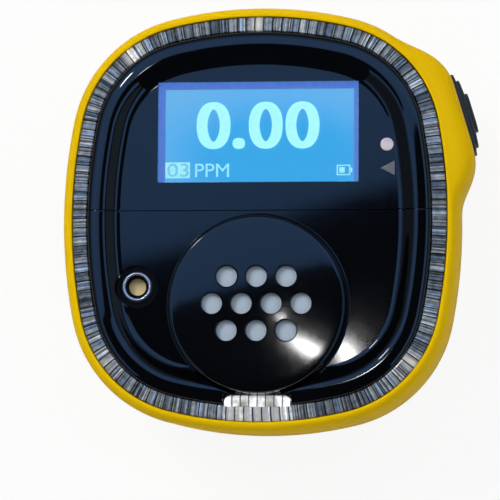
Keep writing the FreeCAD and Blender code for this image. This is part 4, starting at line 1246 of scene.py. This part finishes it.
def buildLever():
    halfX = leverHigh.x
    midY, halfY = (leverLow.y + leverHigh.y) / 2, (leverHigh.y - leverLow.y) / 2

    def outline(shrink):
        return [(x, midY + y) for x, y in roundedLoop(halfX - shrink, halfY - shrink, 2.2 - shrink, 8)]

    plate = formedSheet("leverPlate", outline, 0.0, clip["sheet"], springSteel, 0.18)
    cutWith(plate, [roundedPlate("channelCut", (0, -5.0), (2.6, 9.5), 2.55, -1.0, 0.3, None)])
    runTree(plate, barTree(True), {
        "Count": clip["grooves"], "Start": Vector((0, clip["grooveStart"], -0.1)) * mm,
        "Step": Vector((0, clip["groovePitch"], 0)) * mm, "Length": 9.6 * mm,
        "Radius": clip["grooveRadius"] * mm, "Turn": (0, math.pi / 2, 0), "Finish": springSteel})
    jaw = roundedPlate("leverJaw", (0, leverLow.y + 0.75), (halfX - 1.4, 0.55), 0.3, 0.6, leverHigh.z, springSteel)
    pieces = [plate, jaw]
    hingeY, hingeZ = clip["hinge"]
    for side in (-1, 1):
        ear = []
        for x in (side * (halfX - 1.2), side * halfX):
            arch = [(hingeY + 2.9 * math.cos(t), hingeZ - 0.1 + 1.45 * math.sin(t)) for t in
                    [math.pi * i / 24 for i in range(25)]]
            ear.append([(x, y, z) for y, z in arch + [(-0.9, 0.7), (4.9, 0.7)]])
        made = loopsToMesh("leverEar", ear, springSteel)
        hole = loopsToMesh("earHole", [
            [(x, hingeY + 1.05 * math.cos(t), hingeZ + 1.05 * math.sin(t)) for t in
             [2 * math.pi * i / 40 for i in range(40)]] for x in (side * 4.0, side * 9.0)], None)
        pieces.append(cutWith(made, [hole]))
    made = joinPieces("clipLever", pieces)
    smoothEdges(made, 35)
    place(made, "lever", "clip_lever", slot="steel")


def buildTeeth():
    # Grip bars on the fixed jaw, facing the lever.
    made = newObject("gripTeeth", [], [], springSteel)
    runTree(made, barTree(False), {
        "Count": clip["teeth"], "Start": Vector((0, clip["toothStart"], baseHigh.z - clip["sheet"] + clip["toothSink"])) * mm,
        "Step": Vector((0, clip["toothPitch"], 0)) * mm, "Length": 11.0 * mm,
        "Radius": clip["toothRadius"] * mm, "Turn": (0, math.pi / 2, 0), "Finish": springSteel})
    smoothEdges(made, 35)
    place(made, "case", slot="steel")


spring = {"wire": 0.34, "coil": 1.9, "pitch": 0.85, "turns": 6.5, "leg": 10.0}


def coilTree():
    tree, given, _ = newTree("coilTree", [
        ("Turns", "NodeSocketFloat", 6.5), ("Height", "NodeSocketFloat", 0.005),
        ("Radius", "NodeSocketFloat", 0.002), ("Wire", "NodeSocketFloat", 0.0003),
        ("Finish", "NodeSocketMaterial", None)])
    path = treeNode(tree, "GeometryNodeCurveSpiral", {}, {"Resolution": 28}, {
        "Rotations": given.outputs["Turns"], "Height": given.outputs["Height"],
        "Start Radius": given.outputs["Radius"], "End Radius": given.outputs["Radius"]})
    section = treeNode(tree, "GeometryNodeCurvePrimitiveCircle", {"mode": "RADIUS"}, {"Resolution": 12},
                       {"Radius": given.outputs["Wire"]})
    tube = treeNode(tree, "GeometryNodeCurveToMesh", {}, {"Fill Caps": True}, {
        "Curve": path.outputs[0], "Profile Curve": section.outputs[0]})
    finishTree(tree, tube.outputs[0], given)
    return tree


def springLeg(name, x, z):
    hingeY = clip["hinge"][0]
    loops = [[(x + spring["wire"] * math.cos(t), y, z + spring["wire"] * math.sin(t))
              for t in [2 * math.pi * i / 12 for i in range(12)]] for y in (hingeY, hingeY + spring["leg"])]
    return loopsToMesh(name, loops, springSteel)


def buildSpring():
    # The coil and its upper leg stay with the case, and the lower leg swings with the lever.
    length = spring["pitch"] * spring["turns"]
    hingeY, hingeZ = clip["hinge"]
    coil = newObject("springCoil", [], [], springSteel)
    runTree(coil, coilTree(), {
        "Turns": spring["turns"], "Height": length * mm, "Radius": spring["coil"] * mm,
        "Wire": spring["wire"] * mm, "Finish": springSteel})
    lay = Matrix(((0, 0, 1, 0), (0, -1, 0, 0), (1, 0, 0, 0), (0, 0, 0, 1)))
    coil.data.transform(Matrix.Translation(Vector((-length / 2, hingeY, hingeZ)) * mm) @ lay)
    coil = joinPieces("springCoil", [coil, springLeg("upperLeg", -length / 2, hingeZ + spring["coil"])])
    faceOut(coil)
    smoothEdges(coil, 35)
    place(coil, "case", "clip_spring", slot="steel")
    place(springLeg("springLeg", length / 2, hingeZ - spring["coil"]), "lever", slot="steel")


buildTeeth()
buildSpring()
buildLever()
print("clip made")


# Finishes on the CAD pieces that stay

finishes = {
    "led_board": boardWhite, "beacon_leds": lampPale, "front_gasket": foamBlack, "chassis": innerPlastic,
    "lcd_frame": zincSteel, "lcd_backlight": guideBlue, "lcd_glass": panelGlow, "flex_cable": flexAmber,
    "status_led": lampPale, "dust_membrane": membraneCloth, "sensor_gasket": foamBlack,
    "sensor_cell": sensorWhite, "sensor_sockets": goldFlash, "main_board": boardGreen,
    "board_screws": zincSteel, "processor_chip": chipBlack, "radio_module": shieldTin,
    "battery_pad": foamBlack, "battery_cell": pouchFoil, "battery_contacts": goldFlash,
    "buzzer_housing": innerPlastic, "piezo_plate": brassDisc, "piezo_ceramic": ceramicPale,
    "port_seal": foamBlack, "vibration_motor": zincSteel, "motor_shaft": zincSteel,
    "motor_cradle": foamBlack, "vibration_weight": weightMetal, "tact_switch": chipBlack,
    "switch_plunger": innerPlastic, "case_screws": zincSteel, "clip_base": springSteel,
    "clip_pin": zincSteel, "clip_screws": zincSteel, "rating_plate": plateGrey,
}
for nodeName, finish in finishes.items():
    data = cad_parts[nodeName].data
    data.materials.clear()
    data.materials.append(finish)
softRims = {"clip_base": 0.15, "clip_pin": 0.15, "case_screws": 0.10, "clip_screws": 0.10, "rating_plate": 0.06}
for nodeName, width in softRims.items():
    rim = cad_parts[nodeName].modifiers.new("softRim", "BEVEL")
    rim.width = width * mm
    rim.segments = 2
    rim.limit_method = "ANGLE"
    rim.angle_limit = math.radians(40)
print("finishes set")


# Floor, light and camera

studio = {
    "floorSize": 4.0, "cameraDistance": 0.5, "tiltX": 5.94, "tiltY": 5.02, "roll": 0.305,
    "viewWidth": 0.0798, "aim": (-1.33, -5.11, 29.0), "skyHeight": 1.4, "world": 0.35,
    "lamps": (
        ("keyLight", (-0.55, 0.50, 0.9), 0.5, 7.2, (1, 0.98, 0.95)),
        ("fillLight", (0.5, 0.4, 1.0), 0.7, 3.2, (0.95, 0.98, 1)),
        ("frontLight", (0.1, -1.0, 0.35), 0.8, 0.7, (1, 1, 1))),
    "sparks": (("cornerSpark", (-0.50, 0.46, 0.86), 0.09, 45.0),),
    "floorGlow": 0.9,
}


def plainPanel(name, size, spot, turn, material):
    half = size / 2
    mesh = bpy.data.meshes.new(name)
    mesh.from_pydata([(-half, -half, 0), (half, -half, 0), (half, half, 0), (-half, half, 0)], [], [(0, 1, 2, 3)])
    made = bpy.data.objects.new(name, mesh)
    scene.collection.objects.link(made)
    made.location = spot
    made.rotation_euler = turn
    mesh.materials.append(material)
    return made


def floorFinish():
    made, tree, shader = newMaterial("floorPale")
    soft = noiseOn(tree, objectPoint(tree), 3.0)
    tree.links.new(rampOn(tree, soft, [(0.3, (0.84, 0.84, 0.84)), (0.7, (0.86, 0.86, 0.86))]), shader.inputs["Base Color"])
    shader.inputs["Roughness"].default_value = 0.9
    shader.inputs["Specular IOR Level"].default_value = 0.0
    rays = tree.nodes.new("ShaderNodeLightPath")
    seen = tree.nodes.new("ShaderNodeMath")
    seen.operation = "MAXIMUM"
    tree.links.new(rays.outputs["Is Camera Ray"], seen.inputs[0])
    tree.links.new(rays.outputs["Is Transmission Ray"], seen.inputs[1])
    amount = tree.nodes.new("ShaderNodeMath")
    amount.operation = "MULTIPLY"
    amount.inputs[1].default_value = studio["floorGlow"]
    tree.links.new(seen.outputs[0], amount.inputs[0])
    glow = tree.nodes.new("ShaderNodeEmission")
    mix = tree.nodes.new("ShaderNodeMixShader")
    tree.links.new(amount.outputs[0], mix.inputs[0])
    tree.links.new(shader.outputs["BSDF"], mix.inputs[1])
    tree.links.new(glow.outputs[0], mix.inputs[2])
    output = [node for node in tree.nodes if node.bl_idname == "ShaderNodeOutputMaterial"][0]
    tree.links.new(mix.outputs[0], output.inputs["Surface"])
    return made


def cardFinish(name, stops, axis="Y", low=-1.0, high=1.0):
    # A glowing card, coloured along one of its own directions.
    made = bpy.data.materials.new(name)
    made.use_nodes = True
    tree = made.node_tree
    tree.nodes.clear()
    output = tree.nodes.new("ShaderNodeOutputMaterial")
    glow = tree.nodes.new("ShaderNodeEmission")
    tree.links.new(glow.outputs[0], output.inputs["Surface"])
    spot = tree.nodes.new("ShaderNodeTexCoord")
    split = tree.nodes.new("ShaderNodeSeparateXYZ")
    tree.links.new(spot.outputs["Object"], split.inputs[0])
    colour = rampOn(tree, rangeOn(tree, split.outputs[axis], 0.0, 1.0, low, high), stops)
    tree.links.new(colour, glow.inputs["Color"])
    return made, tree, glow, spot, colour


sky = {
    "blue": (0.42, 0.90, 1.90), "deep": (0.34, 0.74, 1.58), "dark": (0.02, 0.03, 0.05),
    "low": (0.10, 0.13, 0.18), "haze": (0.14, 0.22, 0.36), "slate": (0.22, 0.32, 0.44),
    "turn": 15.0, "edge": 0.169, "soft": 0.003,
    "glints": (((-0.028, -0.013), -28.0, (0.078, 0.023), 130.0), ((-0.085, 0.052), -62.0, (0.016, 0.006), 230.0)),
}


def skyFinish():
    # Overhead: blue beyond a slanted edge, dark before it, and one soft bright patch.
    made, tree, glow, spot, _ = cardFinish("skyCard", [(0, sky["dark"]), (1, sky["blue"])])
    slant = tree.nodes.new("ShaderNodeMapping")
    slant.inputs["Rotation"].default_value = (0, 0, -math.radians(sky["turn"]))
    tree.links.new(spot.outputs["Object"], slant.inputs["Vector"])
    split = tree.nodes.new("ShaderNodeSeparateXYZ")
    tree.links.new(slant.outputs[0], split.inputs[0])
    wobble = noiseOn(tree, spot.outputs["Object"], 5.0, 1.0)
    shift = tree.nodes.new("ShaderNodeMath")
    shift.operation = "MULTIPLY_ADD"
    shift.inputs[1].default_value = 0.012
    tree.links.new(wobble, shift.inputs[0])
    tree.links.new(split.outputs["Y"], shift.inputs[2])
    along = rangeOn(tree, shift.outputs[0], 0.0, 1.0, sky["edge"] - sky["soft"], sky["edge"] + 0.9)
    base = rampOn(tree, along, [
        (0.0, sky["dark"]), (2 * sky["soft"], sky["deep"]), (0.25, sky["blue"]), (1.0, sky["blue"])])
    for centre, turn, size, strength in sky["glints"]:
        patch = tree.nodes.new("ShaderNodeMapping")
        patch.vector_type = "TEXTURE"
        patch.inputs["Location"].default_value = (*centre, 0)
        patch.inputs["Rotation"].default_value = (0, 0, math.radians(turn))
        patch.inputs["Scale"].default_value = (*size, 1)
        tree.links.new(spot.outputs["Object"], patch.inputs["Vector"])
        ball = tree.nodes.new("ShaderNodeTexGradient")
        ball.gradient_type = "QUADRATIC_SPHERE"
        tree.links.new(patch.outputs[0], ball.inputs["Vector"])
        bright = rampOn(tree, ball.outputs["Fac"], [(0.0, (0, 0, 0)), (1.0, (strength,) * 3)])
        add = tree.nodes.new("ShaderNodeMix")
        add.data_type = "RGBA"
        add.blend_type = "ADD"
        add.inputs["Factor"].default_value = 1.0
        tree.links.new(base, add.inputs["A"])
        tree.links.new(bright, add.inputs["B"])
        base = add.outputs["Result"]
    tree.links.new(base, glow.inputs["Color"])
    return made


def reflectOnly(card):
    for flag in ("visible_camera", "visible_diffuse", "visible_transmission", "visible_shadow"):
        setattr(card, flag, False)


def buildStudio():
    plainPanel("floor", studio["floorSize"], (0, 0, 0), (0, 0, 0), floorFinish())
    reflectOnly(plainPanel("skyCard", 2.4, (0, 0, studio["skyHeight"]), (0, 0, 0), skyFinish()))
    dark, blue, deep, low, haze, slate = (sky[shade] for shade in ("dark", "blue", "deep", "low", "haze", "slate"))
    sides = (
        ("nearCard", (0, -1.2, 0.7), (math.pi / 2, 0, 0), [(0, dark), (1, dark)]),
        ("farCard", (0, 1.2, 0.7), (math.pi / 2, 0, 0), [(0, low), (0.30, low), (0.45, haze), (0.8, deep), (1, blue)]),
        ("leftCard", (-1.2, 0, 0.7), (math.pi / 2, 0, math.pi / 2), [(0, low), (0.30, low), (0.45, haze), (0.8, deep), (1, deep)]),
        ("rightCard", (1.2, 0, 0.7), (math.pi / 2, 0, math.pi / 2), [
            (0, slate), (0.42, slate), (0.46, dark), (0.53, dark), (0.57, blue), (1, blue)]))
    for name, spot, turn, stops in sides:
        reflectOnly(plainPanel(name, 2.4, spot, turn, cardFinish(name, stops, "Y", -0.7, 0.7)[0]))
    for name, spot, size, strength in studio["sparks"]:
        white = cardFinish(name, [(0, (strength,) * 3), (1, (strength,) * 3)])[0]
        aim = (Vector((0, 0, 0.02)) - Vector(spot)).to_track_quat("Z", "Y").to_euler()
        reflectOnly(plainPanel(name, size, spot, aim, white))
    world = bpy.data.worlds.new("studioWorld")
    scene.world = world
    world.use_nodes = True
    world.node_tree.nodes["Background"].inputs["Color"].default_value = (0.93, 0.96, 1.0, 1)
    world.node_tree.nodes["Background"].inputs["Strength"].default_value = studio["world"]
    for name, spot, size, energy, colour in studio["lamps"]:
        lamp = bpy.data.lights.new(name, "AREA")
        lamp.size = size
        lamp.energy = energy
        lamp.color = colour
        holder = bpy.data.objects.new(name, lamp)
        scene.collection.objects.link(holder)
        holder.visible_glossy = False
        holder.location = spot
        holder.rotation_euler = (Vector((0, 0, 0.02)) - Vector(spot)).to_track_quat("-Z", "Y").to_euler()


def buildCamera():
    camera = bpy.data.cameras.new("camera")
    camera.sensor_width = 36.0
    camera.lens = 36.0 * studio["cameraDistance"] / studio["viewWidth"]
    camera.clip_start = 0.01
    holder = bpy.data.objects.new("camera", camera)
    scene.collection.objects.link(holder)
    aim = Vector(studio["aim"]) * mm
    look = Vector((math.tan(math.radians(studio["tiltX"])), -math.tan(math.radians(studio["tiltY"])), 1)).normalized()
    holder.location = aim + look * studio["cameraDistance"]
    back = look
    up = Vector((math.sin(math.radians(-studio["roll"])), math.cos(math.radians(studio["roll"])), 0))
    right = up.cross(back).normalized()
    up = back.cross(right)
    holder.rotation_euler = Matrix((right, up, back)).transposed().to_euler()
    scene.camera = holder


buildStudio()
buildCamera()
scene.view_settings.view_transform = "Standard"
print("studio made")
